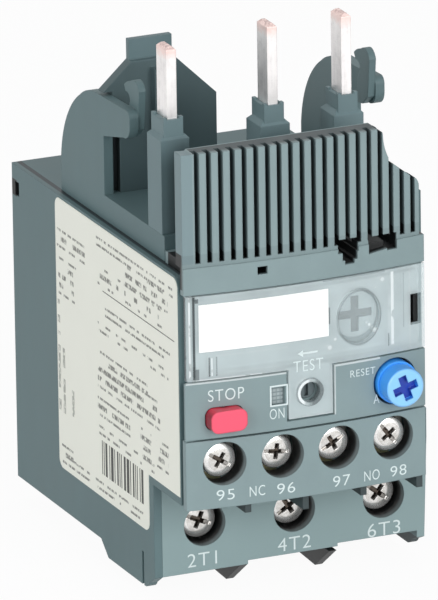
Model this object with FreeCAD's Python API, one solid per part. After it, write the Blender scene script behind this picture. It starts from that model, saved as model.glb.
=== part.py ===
import FreeCAD, Part
import math
import os

# Thermal overload relay for plugging under a contactor.
# Millimetres.  +X is to the right of the relay, +Y to its rear, +Z up.  The origin is the
# middle of the width, on the rear plane, level with the underside of the housing.

# ---- Housing ----
body_width = 45.0
left = -body_width / 2
right = body_width / 2
body_depth = 53.3            # rear plane to the main terminal face
deck_height = 50.6
platform_height = 54.6       # raised floor that the pin sleeves stand on
platform_rear = 31.2         # depth at which the raised floor starts
side_wall = 1.3              # thickness of the separate left side cover
skirt_notch_depth = body_depth - 4.1
skirt_notch_width = 0.7
skirt_notch_top = 3.0
skirt_drop = 2.3             # side walls reach this far below the housing
skirt_rear = 32.7
overhang = 2.7               # upper housing stands this far before the terminal face
right_setback = 1.3          # the housing right of the front unit stands back from the face
right_draft = 0.5            # taper of the right wall at the foot
side_hole_length = 2.2
side_hole_height = 1.5

# ---- Front unit ----
front_depth = 12.4           # front edges before the main terminal face
front_width = 39.2
front_bulge = 1.4            # the front is a shallow arc in plan
row_bottom = 14.5            # auxiliary terminal row
seam_height = 25.4           # seam between terminal row and control panel
window_bottom = 34.5         # clear cover
window_top = 48.2
band_top = 52.4
cap_top = 70.0
cap_right_drop = 9.4         # the right shoulder of the cap is this much lower
cap_width = 38.5
cap_wall = 2.4
flange_rear = body_depth + 9.3            # rear edge of the cap's top flange
edge_gap = 0.05
seam_gap = 0.3
lip_width = 1.1              # front edge that laps over the side cover
panel_lip = 0.4              # the same beside the clear cover, where it is thinner
side_clearance = 0.1

# ---- Ribbed grille ----
groove_count = 20
groove_width = 0.8
groove_depth = 1.9
groove_margin = 2.4
band_slots = ((11.6, 13.2, 50.3, 51.5), (24.7, 28.1, 51.7, 53.8), (25.4, 27.9, 50.5, 51.8),
              (25.8, 27.4, 49.9, 50.6), (29.8, 34.6, 52.1, 53.5), (32.9, 34.6, 51.0, 52.2))
band_ramp = ((29.8, 50.9), (33.0, 51.3), (33.0, 52.2), (29.8, 52.2))

# ---- Pins and sleeves ----
pin_places = [left + x for x in (3.5, 19.85, 31.9)]
pin_width = 1.6
pin_length = 3.7
pin_depth = body_depth - 0.7             # pin centre from the rear plane
pin_tops = (83.3, 84.7, 84.7)
pin_bevel = 0.5
sleeve_width = 4.8
sleeve_length = 5.2
sleeve_top = 69.9
collar_width = 3.2
collar_length = 4.6
collar_top = 72.2
prong_height = 0.3
prong_width = 0.8
pin_fit = 0.05

# ---- Latch hooks and cross wall ----
hook_walls = {-1: 1.2, 1: 2.6}   # left and right hook
lip_wall = 1.1
hook_rear = 16.6
hook_front = 33.3
hook_top = 70.0
nose_reach = 43.4
nose_under = 63.9            # underside of the nose at the arm
nose_rise = 1.9              # it is this much higher at the tip
hook_nose_wall = 1.5
nose_insets = {-1: 0.0, 1: 0.6}
wall_thickness = 2.0
wall_hook_gap = 0.4          # clear of the left hook, below its nose
wall_reach_inset = 0.1       # above the hook the wall reaches out nearly to the cover
wall_right = left + 19.9
wall_shoulder = 68.3
wall_top = 78.1
wall_slope_foot = 70.6       # the wall's left edge leans in from here to the tab
wall_slot = 1.1              # upright slot in the wall, beside the hook
wall_slot_depth = 1.4
tab_left = left + 6.1
tab_right = left + 13.1
ledge_height = 74.9
ledge_depth = 0.9
rib_width = 1.1
rib_place = left + 9.75
rib_depth = 1.6

# ---- Main terminals ----
foot_steps = ((left + 15.3, 0.6), (left + 30.1, 1.1))   # right of each place the front foot is cut this high
foot_step_depth = 7.3
pole_pitch = 14.75
first_pole = left + 8.3
main_height = 7.4
screw_hole = 6.8
main_head_radius = 2.9
main_head_depth = body_depth - 2.3       # front of the screw heads from the rear plane
main_head_thick = 2.2
main_shank_radius = 2.0
main_travel = 2.1
main_thread_pitch = 0.7
cage_wall = 1.6
cage_width = 9.0
cage_height = 7.0
cage_front = body_depth - 6.7            # open position of the cage front wall, front side
cage_space = 6.9
bar_half_width = 2.0
bar_thick = 1.4
bar_clearance = 0.3
cage_clearance = 0.4
wire_half_width = 2.9
tip_gap = 0.1

# ---- Auxiliary terminals ----
aux_pitch = 9.2
first_aux = left + 6.05
aux_height = 21.4
aux_head_radius = 2.7
aux_head_depth = body_depth + 11.3
aux_head_thick = 1.8
aux_shank_radius = 1.6
aux_travel = 1.2
aux_thread_pitch = 0.6
aux_cage_wall = 1.1
aux_cage_width = 7.2
aux_cage_height = 5.0
aux_cage_front = body_depth + 8.2
aux_cage_space = 5.5
aux_bar_half_width = 1.9
aux_bar_thick = 1.0
aux_bar_clearance = 0.15
aux_cage_clearance = 0.3
aux_roof = 0.8
slot_width = 0.7
slot_depth = 0.9
slot_length_share = 0.8

# ---- Barriers below the housing ----
barrier_wall = 1.2
barrier_drop = 3.9
barrier_front = body_depth - 5.4         # the webs' lowest corner
barrier_places = [left + x for x in (14.6, 29.3)]
right_skirt_drop = 1.9
aux_barrier_wall = 1.0
aux_barrier_drops = (1.7, 2.6, 1.8, 1.9)
aux_barrier_shifts = (-0.5, -0.3, 0.0, 0.0)
aux_barrier_length = 8.0     # level underside of a web, from the front
aux_barrier_rise = 1.5       # the underside then rises over this length

# ---- Clear cover ----
cover_wall = 1.0
cover_rim = 1.2
cover_gap = 0.25
cover_window_left = left + 36.8
cover_window_right = left + 38.6
cover_window_bottom = 38.6
cover_window_top = 43.4
hinge_radius = 0.85
hinge_inset = 1.25
hinge_pin_radius = 0.5
hinge_pin_length = 1.2
hinge_fit = 0.05
recess_depth = 3.2
tongue_left = left + 16.3
tongue_right = left + 23.5
tongue_bottom = 27.0
tongue_recess = 1.5
ring_outer = 2.2
ring_inner = 1.6
ring_rise = 0.3
dial_ring_width = 7.5
dial_ring_height = 8.9
dial_ring_wall = 0.45
dial_ring_rise = 0.25

# ---- Marker card ----
card_width = 20.6
card_height = 7.4
card_place = (left + 12.6, 42.9)
card_thick = 0.12

# ---- Rating label ----
label_thick = 0.1
label_top_margin = 0.4
label_rear = 17.1
label_bottom = 6.9
label_corner = 1.5

# ---- Controls ----
dial_place = (left + 28, 41.4)
dial_radius = 3.6
dial_thick = 2.0
dial_face_inset = 1.6
dial_shaft_radius = 1.5
dial_cross_length = 5.6
dial_cross_width = 1.3
dial_cross_depth = 0.8
cam_radius = 2.2
cam_offset = 0.6
cam_thick = 1.4
stop_place = (left + 6.1, 28.6)
stop_width = 5.8
stop_height = 3.4
stop_corner = 1.2
stop_front = body_depth + 15.1
stop_travel = 2.0
reset_place = (left + 34, 30.3)
reset_radius = 3.3
reset_cap_radius = 3.0
reset_well_radius = 3.65
reset_well_depth = 1.6
reset_front = body_depth + 17
reset_travel = 2.2
reset_cap_length = 3.0
reset_cross_reach = 2.0      # arms of the screwdriver recess
reset_cross_width = 1.3
reset_cross_depth = 1.0
reset_cross_turn = 18.0      # recess is turned this far, in degrees
test_place = (left + 19.7, 30.9)
test_radius = 1.4
test_travel = 1.0
test_inset = 1.3
button_fit = 0.1
stem_radius = 0.8
button_length = 6.0
button_floor = body_depth + 8          # depth of the floor that the button springs stand on
floor_thick = 0.9
flag_window = (left + 14.6, 30.9)
flag_window_width = 2.3
flag_window_height = 2.8
flag_thick = 0.6
flag_inset = 0.9             # the flag slides this far behind the front
flag_gap = 0.15

# ---- Springs ----
spring_wire = 0.25           # half the thickness of one turn
spring_length = 3.2
spring_turns = 5
spring_sides = 12            # each turn is a flat ring with this many sides

# ---- Inner space of the control panel ----
cavity_left = left + 2.8
cavity_right = left + 38.1
cavity_bottom = 26.6
cavity_top = 46.6
cavity_front = body_depth + 8.1

# ---- Pole chambers ----
chamber_lefts = [left + x for x in (2.5, 18.4, 31)]
chamber_width = 9.2
chamber_bottom = 17.0
chamber_top = 47.8
chamber_rear = 24.0
bracket_thick = 2.4
bracket_rear = body_depth - 10.3
strip_places = [left + x for x in (7.3, 23.4, 35.8)]
strip_thick = 1.0
strip_rear = body_depth - 9.7
strip_front = body_depth - 3.9
strip_bottom = 25.0
mica_wall = 0.4
mica_bottom = 32.6
mica_top = 43.4
winding_wall = 0.7
winding_height = 0.9
winding_turns = 5
terminal_bar_top = 22.0

# ---- Trip mechanism ----
slider_height = 2.0
slider_bottom = 27.0
slider_gap = 0.2
slider_left = left + 3.1
slider_right = left + 37.8
slider_front = body_depth + 2.3
slider_rear = body_depth - 1.5
finger_reach = body_depth - 7.1
finger_wall = 1.0
finger_gap = 0.25
slider_travel = 1.5
nose_right = left + 34.2
nose_wall = 1.5
lever_x = left + 35.4
lever_z = 33.0
lower_arm = 5.0
carrier_arm = 7.0
lever_thick = 1.5
lever_front = body_depth + 4.9
lever_boss = 1.7
lever_tip = 1.0
lever_web = 1.3
lever_pin_radius = 0.8
lever_fit = 0.05
push_gap = 0.15
carrier_height = 2.0
carrier_left = left + 9.7
carrier_right = left + 30.5
leaf_thick = 0.5
leaf_rise = 1.6
contact_gap = 0.05
contact_size = 1.0
contact_height = 0.6
strap_thick = 0.7
strap_places = [left + x for x in (3.45, 17.3, 23.15, 31.95)]
nc_contacts = [left + x for x in (6.1, 15.2)]
no_contacts = [left + x for x in (25, 30.4)]
leaf_overhang = 0.9
carrier_posts = [left + x for x in (10.7, 26.6)]

# ---- Values that follow ----
inner_left = left + side_wall
wall_left = inner_left + hook_walls[-1] + wall_hook_gap
wall_reach = inner_left + wall_reach_inset
front_left = left + edge_gap
front_right = front_left + front_width
front_edge = -(body_depth + front_depth)
face_plane = -body_depth
upper_plane = -(body_depth + overhang)
front_middle = (front_left + front_right) / 2
front_radius = (front_width ** 2 / 4 + front_bulge ** 2) / (2 * front_bulge)
front_centre = front_edge - front_bulge + front_radius
cap_right = front_left + cap_width
carrier_travel = slider_travel * carrier_arm / lower_arm
poles = [first_pole + pole_pitch * i for i in range(3)]
aux_places = [first_aux + aux_pitch * i for i in range(4)]
side_front = body_depth + front_depth - lip_width - seam_gap - 0.4
hinge_x = front_left + hinge_radius + 0.35
hinge_y = front_edge + hinge_radius - 0.1


def box(x0, x1, y0, y1, z0, z1):
    """Box between two corners."""
    corner = FreeCAD.Vector(min(x0, x1), min(y0, y1), min(z0, z1))
    return Part.makeBox(abs(x1 - x0), abs(y1 - y0), abs(z1 - z0), corner)


def rod(x, z, radius, y_front, y_rear):
    """Round bar along Y."""
    start = FreeCAD.Vector(x, y_front, z)
    return Part.makeCylinder(radius, y_rear - y_front, start, FreeCAD.Vector(0, 1, 0))


def post(x, y, radius, z0, z1):
    """Round bar along Z."""
    return Part.makeCylinder(radius, z1 - z0, FreeCAD.Vector(x, y, z0))


def wire_of(path, place):
    """Closed outline.  A pair is a corner; a triple (mid, end) of pairs is an arc."""
    edges = []
    start = path[0]
    at = start
    for step in path[1:]:
        if len(step) == 2 and isinstance(step[0], tuple):
            middle, end = step
            edges.append(Part.Arc(place(at), place(middle), place(end)).toShape())
        else:
            end = step
            edges.append(Part.LineSegment(place(at), place(end)).toShape())
        at = end
    if at != start:
        edges.append(Part.LineSegment(place(at), place(start)).toShape())
    return Part.Wire(edges)


def side_plate(path, x0, x1):
    """Outline of (y, z) points, solid from x0 to x1."""
    wire = wire_of(path, lambda p: FreeCAD.Vector(x0, p[0], p[1]))
    return Part.Face(wire).extrude(FreeCAD.Vector(x1 - x0, 0, 0))


def front_plate(path, y0, y1):
    """Outline of (x, z) points, solid from y0 to y1."""
    wire = wire_of(path, lambda p: FreeCAD.Vector(p[0], y0, p[1]))
    return Part.Face(wire).extrude(FreeCAD.Vector(0, y1 - y0, 0))


def plan_plate(path, z0, z1):
    """Outline of (x, y) points, solid from z0 to z1."""
    wire = wire_of(path, lambda p: FreeCAD.Vector(p[0], p[1], z0))
    return Part.Face(wire).extrude(FreeCAD.Vector(0, 0, z1 - z0))


def joined(shapes):
    """One clean solid out of overlapping ones."""
    first = shapes[0]
    return first.fuse(shapes[1:]).removeSplitter()


def surface_y(x, inset=0.0):
    """Y of the bulged front, or of a surface inset behind it."""
    return front_centre - math.sqrt((front_radius - inset) ** 2 - (x - front_middle) ** 2)


def curved_slab(x0, x1, z0, z1, outer, inner):
    """Plate that follows the bulged front between two insets."""
    drum_outer = post(front_middle, front_centre, front_radius - outer, z0, z1)
    drum_inner = post(front_middle, front_centre, front_radius - inner, z0, z1)
    window = box(x0, x1, front_edge - 10, front_edge + 12, z0, z1)
    return drum_outer.cut(drum_inner).common(window)


def ahead_of(inset, x0, x1, z0, z1):
    """Everything before an inset surface, for cutting recesses."""
    drum = post(front_middle, front_centre, front_radius - inset, z0, z1)
    return box(x0, x1, front_edge - 12, front_edge + 12, z0, z1).cut(drum)


def front_block(z0, z1, y_rear, lip=lip_width):
    """Slice of the front unit with its lip over the side cover."""
    lip_y = front_edge + lip
    inside = inner_left + side_clearance
    path = [(front_left, front_edge),
            ((front_middle, front_edge - front_bulge), (front_right, front_edge)),
            (front_right, y_rear), (inside, y_rear), (inside, lip_y), (front_left, lip_y)]
    return plan_plate(path, z0, z1)


def rounded_bar(x, z, width, height, r, y_front, y_rear):
    """Bar along Y with rounded edges."""
    x0, x1, z0, z1 = x - width / 2, x + width / 2, z - height / 2, z + height / 2
    k = r * (1 - math.sqrt(0.5))
    path = [(x0 + r, z0), (x1 - r, z0), ((x1 - k, z0 + k), (x1, z0 + r)), (x1, z1 - r),
            ((x1 - k, z1 - k), (x1 - r, z1)), (x0 + r, z1), ((x0 + k, z1 - k), (x0, z1 - r)),
            (x0, z0 + r), ((x0 + k, z0 + k), (x0 + r, z0))]
    return front_plate(path, y_front, y_rear)


# ---- Housing ----

def housing_profile():
    """Side outline of the housing without its skirts."""
    return [(0, 0), (0, deck_height), (-platform_rear, deck_height),
            (-platform_rear, platform_height), (upper_plane, platform_height),
            (upper_plane, seam_height), (face_plane, seam_height), (face_plane, 0)]


def skirt_profile(drop):
    """Side outline of a skirt, down past the wire entries, with a sloped front."""
    return [(-skirt_rear, 0), (-skirt_rear - 1.2 * drop, -drop), (-body_depth + 3.5, -drop),
            ((-body_depth + 2.7, -drop + 0.3), (-body_depth + 2.0, -drop + 1.0)), (face_plane, 0)]


def hook_arm():
    """Thin latch arm with a nose, seen from the side."""
    tip = nose_under + nose_rise
    return [(-hook_rear, deck_height - 1), (-hook_rear, deck_height + 5.5),
            ((-hook_rear - 2.7, hook_top - 6.6), (-hook_rear - 7.8, hook_top - 2)),
            ((-hook_rear - 10.8, hook_top - 0.5), (-hook_rear - 14.2, hook_top)),
            (-nose_reach + 1.2, hook_top + 0.4), ((-nose_reach + 0.3, hook_top), (-nose_reach, hook_top - 1)),
            (-nose_reach, tip + 2.3), ((-nose_reach + 0.7, tip + 0.6), (-nose_reach + 2.4, tip)),
            (-hook_front, nose_under), (-hook_front, deck_height - 1)]


def hook_lip():
    """Raised lip at the nose, curling back over the slot of the contactor."""
    tip = nose_under + nose_rise
    reach = -nose_reach
    return [(reach + 0.4, tip + 1.6), (reach - 0.3, hook_top + 3.4),
            ((reach + 0.7, hook_top + 4.6), (reach + 2.8, hook_top + 4.3)),
            ((reach + 4.2, hook_top + 3.9), (reach + 5.4, hook_top + 3.1)), (reach + 4.8, hook_top + 2.2),
            ((reach + 3.5, hook_top + 1.9), (reach + 3.2, hook_top + 1.0)), (reach + 4, hook_top - 0.4),
            (reach + 4.2, tip - 0.2), (reach + 2.4, tip)]


def hook(side):
    """Latch hook on the left (-1) or right (1) edge of the deck."""
    outer = side * (right - side_wall)
    inner = outer - side * hook_walls[side]
    arm = side_plate(hook_arm(), outer, inner).common(box(left, right, -hook_front, 0, 0, cap_top + 5))
    nose_outer = outer - side * nose_insets[side]
    nose_inner = nose_outer - side * hook_nose_wall
    nose = side_plate(hook_arm(), nose_outer, nose_inner)
    lip = side_plate(hook_lip(), nose_inner, nose_inner - side * lip_wall)
    bridge = box(inner, inner - side * lip_wall, -platform_rear, -hook_rear,
                 deck_height - 1, deck_height + 1.4)
    return joined([arm, nose, lip, bridge])


def cross_wall():
    """Upright wall with a stepped tab, between the left pins and the left hook."""
    front = -hook_front + 0.1
    rear = front + wall_thickness
    path = [(wall_left, platform_height), (wall_left, wall_slope_foot), (wall_reach, wall_slope_foot),
            (tab_left, ledge_height),
            (tab_left, wall_top), (tab_right, wall_top), (tab_right, ledge_height),
            (wall_right, wall_shoulder), (wall_right, platform_height)]
    wall = front_plate(path, front, rear)
    step = box(tab_left, tab_right, front, front + ledge_depth, ledge_height, wall_top)
    slot = box(wall_left, wall_left + wall_slot, front, front + wall_slot_depth,
               platform_height, wall_slope_foot - 2)
    rib = box(rib_place - rib_width / 2, rib_place + rib_width / 2,
              front - rib_depth, front, platform_height, ledge_height - 1.3)
    return joined([wall.cut([step, slot]), rib])


def cage_room(x, z, width, height, front, length, clearance):
    """Space round a clamp cage and its way forward."""
    half = width / 2 + clearance
    return box(x - half, x + half, -front, -(front - length),
               z - height / 2 - clearance, z + height / 2 + clearance)


def main_bar_y():
    """Front and rear of the main terminal bars."""
    front = -(cage_front - cage_wall - bar_clearance)
    return front, front + bar_thick


def base_housing():
    shell = side_plate(housing_profile(), inner_left, right)
    notch_x = front_right + side_clearance
    setback = box(notch_x, right + 1, upper_plane - 1, face_plane + right_setback,
                  row_bottom + 6, platform_height + 1)
    wedge = front_plate([(right, row_bottom + 1.5), (right + 1, row_bottom + 1.5),
                         (right + 1, -skirt_drop - 1), (right - right_draft, -skirt_drop - 1),
                         (right - right_draft, 0)],
                        -body_depth - 1, 1)
    skirt = side_plate(skirt_profile(right_skirt_drop), right - barrier_wall - right_draft, right)
    steps = [box(x, right - barrier_wall - right_draft, face_plane - 1, face_plane + foot_step_depth,
                 -1, height)
             for x, height in foot_steps]
    shell = joined([shell.cut([setback] + steps), skirt, hook(-1), hook(1)]).cut(wedge)

    bar_front, bar_rear = main_bar_y()
    cage_length = 2 * cage_wall + cage_space
    room_front = main_head_depth - main_head_thick + 0.1
    cuts = []
    for x in poles:
        cuts.append(rod(x, main_height, screw_hole / 2, face_plane - 1, -room_front))
        cuts.append(cage_room(x, main_height, cage_width, cage_height, room_front,
                              room_front - cage_front + cage_length + cage_clearance, cage_clearance))
        cuts.append(box(x - wire_half_width, x + wire_half_width, bar_rear,
                        -(cage_front - cage_wall - cage_space), -1, main_height))
        cuts.append(box(x - bar_half_width - pin_fit, x + bar_half_width + pin_fit,
                        bar_front - pin_fit, bar_rear + pin_fit, main_height - 4.5, chamber_bottom + 1))
    for x in chamber_lefts:
        cuts.append(box(x, x + chamber_width, upper_plane - 1, -chamber_rear, chamber_bottom, chamber_top))
    for x in pin_places:
        half = pin_width / 2 + pin_fit
        depth = pin_length / 2 + pin_fit
        cuts.append(box(x - half, x + half, -pin_depth - depth, -pin_depth + depth,
                        chamber_top - 1, platform_height + 1))
    cuts.append(box(chamber_lefts[0], chamber_lefts[2] + chamber_width, upper_plane - 1,
                    -slider_rear + slider_gap, slider_bottom - slider_gap,
                    slider_bottom + 2 * slider_height + 2 * slider_gap))
    cuts.append(obround_side(inner_left - 1, inner_left + 1.5))
    return shell.cut(cuts).removeSplitter()


def obround_side(x0, x1):
    """Small slot near the top of the rear edge, through the side."""
    y = -2.0
    z = deck_height - 3.7
    return box(x0, x1, y - side_hole_height / 2, y + side_hole_height / 2,
               z - side_hole_length / 2, z + side_hole_length / 2)


def side_cover():
    step = row_bottom + 0.4
    path = [(0, 0), (0, deck_height), (-side_front + 2.2, deck_height),
            ((-side_front + 0.6, deck_height - 0.6), (-side_front, deck_height - 2.2)),
            (-side_front, step), (face_plane, step), (face_plane, 0), (-body_depth + 2.0, -skirt_drop + 1.0),
            ((-body_depth + 2.7, -skirt_drop + 0.3), (-body_depth + 3.5, -skirt_drop)),
            (-skirt_rear - 1.2 * skirt_drop, -skirt_drop), (-skirt_rear, 0)]
    plate = side_plate(path, left, inner_left)
    notch = box(left - 1, inner_left + 1, -skirt_notch_depth, -skirt_notch_depth + skirt_notch_width,
                -skirt_drop - 1, skirt_notch_top)
    return plate.cut([obround_side(left - 1, inner_left + 1), notch])


def rating_label():
    top = deck_height - label_top_margin
    front = side_front - 0.3
    step_y = body_depth - 1.6
    step_z = row_bottom + 1.6
    r = label_corner
    k = r * (1 - math.sqrt(0.5))
    path = [(-label_rear - r, top), (-front + r, top), ((-front + k, top - k), (-front, top - r)),
            (-front, step_z), (-step_y, step_z), (-step_y, label_bottom + r),
            ((-step_y + k, label_bottom + k), (-step_y + r, label_bottom)),
            (-label_rear - r, label_bottom),
            ((-label_rear - k, label_bottom + k), (-label_rear, label_bottom + r)),
            (-label_rear, top - r), ((-label_rear - k, top - k), (-label_rear - r, top))]
    return side_plate(path, left - label_thick, left)


# ---- Front unit ----

def cap_outline():
    """Front outline of the ribbed cap, with its lower right shoulder."""
    top = cap_top
    knee = cap_right - 6.1
    low = top - cap_right_drop
    return [(front_left, band_top), (front_left, top), (knee - 1.0, top),
            ((knee - 0.3, top - 0.3), (knee, top - 1.0)),
            ((knee + 0.5, top - 3.7), (knee + 1.4, top - 5.5)), (cap_right - 1.3, low + 1.2),
            ((cap_right - 0.4, low + 0.6), (cap_right, low - 0.6)), (cap_right, band_top)]


def cap_flange():
    """Flange along the top of the cap, straight behind and bevelled at its left end."""
    end = cap_right - 6.9
    path = [(front_left + 0.2, front_edge + 0.6), ((front_middle, front_edge - 0.3), (end, front_edge)),
            (end, -flange_rear), (front_left + 2.0, -flange_rear)]
    return plan_plate(path, cap_top - 1.3, cap_top).common(
        box(left, right, front_edge - 2, -flange_rear + 1, cap_top - 2, cap_top + 1))


def band_openings():
    """Latch openings in the band: a small slot, a stepped one and one with a ramp."""
    deep = 8.0
    ramp = front_plate([(left + x, z) for x, z in band_ramp], front_edge - 3, front_edge + 0.6)
    return [ahead_of(deep, left + x0, left + x1, z0, z1) for x0, x1, z0, z1 in band_slots] + [ramp]


def ribbed_cap():
    inset = 0.2
    outline = front_plate(cap_outline(), front_edge - 10, front_edge + 12)
    plate = curved_slab(front_left, cap_right, band_top, cap_top, inset, inset + cap_wall).common(outline)
    flange = cap_flange().common(curved_slab(front_left, right, cap_top - 2, cap_top, inset + 0.5, 8.0))
    band = front_block(window_top, band_top, upper_plane)
    groove_pitch = (cap_width - groove_margin - 1.1) / (groove_count - 1)
    grooves = []
    for i in range(groove_count):
        x = front_left + groove_margin + groove_pitch * i
        grooves.append(ahead_of(inset + groove_depth, x - groove_width / 2, x + groove_width / 2,
                                band_top + 0.6, cap_top + 1))
    hinge_hole = post(hinge_x, hinge_y, hinge_pin_radius + hinge_fit,
                      window_top - 1, window_top + hinge_pin_length + 0.1)
    return joined([plate, flange, band]).cut(grooves + band_openings() + [hinge_hole]).removeSplitter()


def stop_bar(extra, y_front, y_rear):
    """Stop button's outline, wider all round by extra."""
    return rounded_bar(stop_place[0], stop_place[1], stop_width + 2 * extra, stop_height + 2 * extra,
                       stop_corner + extra, y_front, y_rear)


def button_bores():
    """Bores of the push buttons down to their spring floors, with the stem holes."""
    x, z = reset_place
    bores = [stop_bar(button_fit, front_edge - 6, -button_floor),
             rod(x, z, reset_radius + button_fit, front_edge - 6, -button_floor),
             rod(x, z, reset_well_radius, front_edge - 6, surface_y(x) + reset_well_depth),
             rod(test_place[0], test_place[1], test_radius + button_fit, front_edge - 6, -button_floor)]
    for x, z in (stop_place, reset_place, test_place):
        bores.append(rod(x, z, stem_radius + 0.3, -button_floor - 1, -button_floor + floor_thick + 1))
    return bores


def button_bosses():
    """Walls and spring floors of the push buttons inside the panel."""
    front = -cavity_front - 0.5
    rear = -button_floor + floor_thick
    wall = button_fit + 0.6
    return [stop_bar(wall, front, rear),
            rod(reset_place[0], reset_place[1], reset_radius + wall, front, rear),
            rod(test_place[0], test_place[1], test_radius + wall, front, rear)]


def flag_room():
    """Window, sliding room and driver slot of the trip flag."""
    x, z = flag_window
    wide = flag_window_width / 2
    high = flag_window_height / 2
    front = surface_y(x) + flag_inset
    return [box(x - wide, x + wide, front_edge - 6, front + 0.3, z - high, z + high),
            box(x - wide - 0.5 - flag_gap, x + wide + 0.5 + flag_gap,
                front - flag_gap, front + flag_thick + flag_gap,
                z - high - 0.4 - carrier_travel - flag_gap, z + high + 0.4 + flag_gap),
            box(x - 0.7 - flag_gap, x + 0.7 + flag_gap, front, -cavity_front + 0.5,
                z - 0.5 - carrier_travel - flag_gap, z + 0.5 + flag_gap)]


def control_panel():
    block = front_block(seam_height, window_top, upper_plane, panel_lip)
    cuts = [ahead_of(recess_depth, left - 1, right, window_bottom, window_top + 1),
            ahead_of(tongue_recess, tongue_left - 0.3, tongue_right + 0.3,
                     tongue_bottom - 0.3, window_bottom + 1),
            box(cavity_left, cavity_right, -cavity_front, upper_plane + 1, cavity_bottom, cavity_top),
            box(front_left - 1, front_right + 1, front_edge - 3, front_edge + 0.4,
                seam_height - 1, seam_height + 0.15)]
    latch = curved_slab(cap_right - 2.6, front_right - 0.6, 36.3, 46.4, cover_wall + 0.3, recess_depth + 0.5)
    latch = latch.cut(ahead_of(recess_depth + 2.0, cover_window_left - 0.3, cover_window_right - 0.7,
                               cover_window_bottom, cover_window_top))
    solid = joined([block.cut(cuts), latch] + button_bosses())

    x, z = dial_place
    dial_back = surface_y(x, dial_face_inset) + dial_thick
    holes = button_bores() + aux_strap_slots(seam_height - 1, cavity_bottom + 1) + flag_room()
    holes.append(rod(lever_x, lever_z, lever_pin_radius + 0.02,
                     -button_floor - 0.5, -button_floor + floor_thick + 1))
    holes.append(rod(x, z, dial_radius + 0.3, front_edge - 6, dial_back + 0.1))
    holes.append(rod(x, z, dial_shaft_radius + lever_fit, front_edge, -cavity_front + 1))
    holes.append(post(hinge_x, hinge_y, hinge_pin_radius + hinge_fit,
                      window_bottom - hinge_pin_length - 0.1, window_bottom + 1))
    return solid.cut(holes).removeSplitter()


def aux_bar_y():
    """Front and rear of the auxiliary bars and straps."""
    front = -(aux_cage_front - aux_cage_wall - aux_bar_clearance)
    return front, front + aux_bar_thick


def aux_strap_slots(z0, z1):
    front, rear = aux_bar_y()
    half = strap_thick / 2 + lever_fit
    return [box(x - half, x + half, front - lever_fit, rear + lever_fit, z0, z1) for x in strap_places]


def aux_terminal_housing():
    block = front_block(row_bottom, seam_height, face_plane)
    room_front = aux_head_depth - aux_head_thick + 0.1
    half = aux_cage_width / 2 + aux_cage_clearance
    cuts = [box(front_left - 1, front_right + 1, front_edge - 3, front_edge + 0.4,
                seam_height - 0.15, seam_height + 1)]
    for x in aux_places:
        cuts.append(rod(x, aux_height, screw_hole / 2, front_edge - 6, -room_front))
        cuts.append(box(x - half, x + half, -room_front, face_plane + 1,
                        row_bottom - 1, seam_height - aux_roof))
    cuts += aux_strap_slots(seam_height - 2, seam_height + 1)
    return block.cut(cuts).removeSplitter()


def clear_cover():
    z0 = window_bottom + cover_gap
    z1 = window_top - cover_gap
    x0 = hinge_x
    x1 = front_right
    sheet = curved_slab(x0, x1, z0, z1, 0.0, cover_wall)
    rim_low = curved_slab(x0 + 1.6, x1, z0, z0 + cover_rim, 0.0, 2.2)
    rim_high = curved_slab(x0 + 1.6, x1, z1 - cover_rim, z1, 0.0, 2.2)
    end = curved_slab(x1 - 0.5, x1, z0, z1, 0.0, 2.4)
    barrel = post(hinge_x, hinge_y, hinge_radius, z0, z1)
    pins = post(hinge_x, hinge_y, hinge_pin_radius,
                window_bottom - hinge_pin_length, window_top + hinge_pin_length)
    tongue = curved_slab(tongue_left, tongue_right, tongue_bottom, z0 + 1, 0.0, cover_wall)
    ring_y = surface_y(test_place[0]) - ring_rise
    ring = rod(test_place[0], test_place[1], ring_outer, ring_y, surface_y(test_place[0], cover_wall / 2))
    hole = rod(test_place[0], test_place[1], ring_inner, ring_y - 1, surface_y(test_place[0], 3))
    outer = dial_oval(0.0)
    inner = dial_oval(dial_ring_wall)
    bead = outer.cut(inner).common(curved_slab(x0, x1, z0, z1, -dial_ring_rise, cover_wall / 2))
    window = ahead_of(4.0, cover_window_left, cover_window_right, cover_window_bottom, cover_window_top)
    clear = joined([sheet, rim_low, rim_high, end, barrel, pins, tongue, ring, bead])
    return clear.cut([hole, window]).removeSplitter()


def dial_oval(inset):
    """Oval prism round the dial, along Y."""
    oval = Part.Ellipse(FreeCAD.Vector(0, 0, 0), dial_ring_height / 2 - inset, dial_ring_width / 2 - inset)
    face = Part.Face(Part.Wire([oval.toShape()]))
    face.rotate(FreeCAD.Vector(0, 0, 0), FreeCAD.Vector(0, 0, 1), 90)
    face.rotate(FreeCAD.Vector(0, 0, 0), FreeCAD.Vector(1, 0, 0), 90)
    face.translate(FreeCAD.Vector(dial_place[0], front_edge - 6, dial_place[1]))
    return face.extrude(FreeCAD.Vector(0, 14, 0))


def marker_card():
    x, z = card_place
    return curved_slab(x - card_width / 2, x + card_width / 2, z - card_height / 2, z + card_height / 2,
                       -card_thick, 0.0)


# ---- Controls ----

def setting_dial():
    x, z = dial_place
    front = surface_y(x, dial_face_inset)
    disc = rod(x, z, dial_radius, front, front + dial_thick)
    shaft = rod(x, z, dial_shaft_radius, front + dial_thick, -cavity_front + 0.2)
    half = dial_cross_length / 2
    arm = dial_cross_width / 2
    cross = [box(x - half, x + half, front - 1, front + dial_cross_depth, z - arm, z + arm),
             box(x - arm, x + arm, front - 1, front + dial_cross_depth, z - half, z + half)]
    return joined([disc, shaft]).cut(cross)


def setting_cam():
    x, z = dial_place
    front = -cavity_front + 0.2
    return rod(x + cam_offset, z, cam_radius, front, front + cam_thick)


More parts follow.
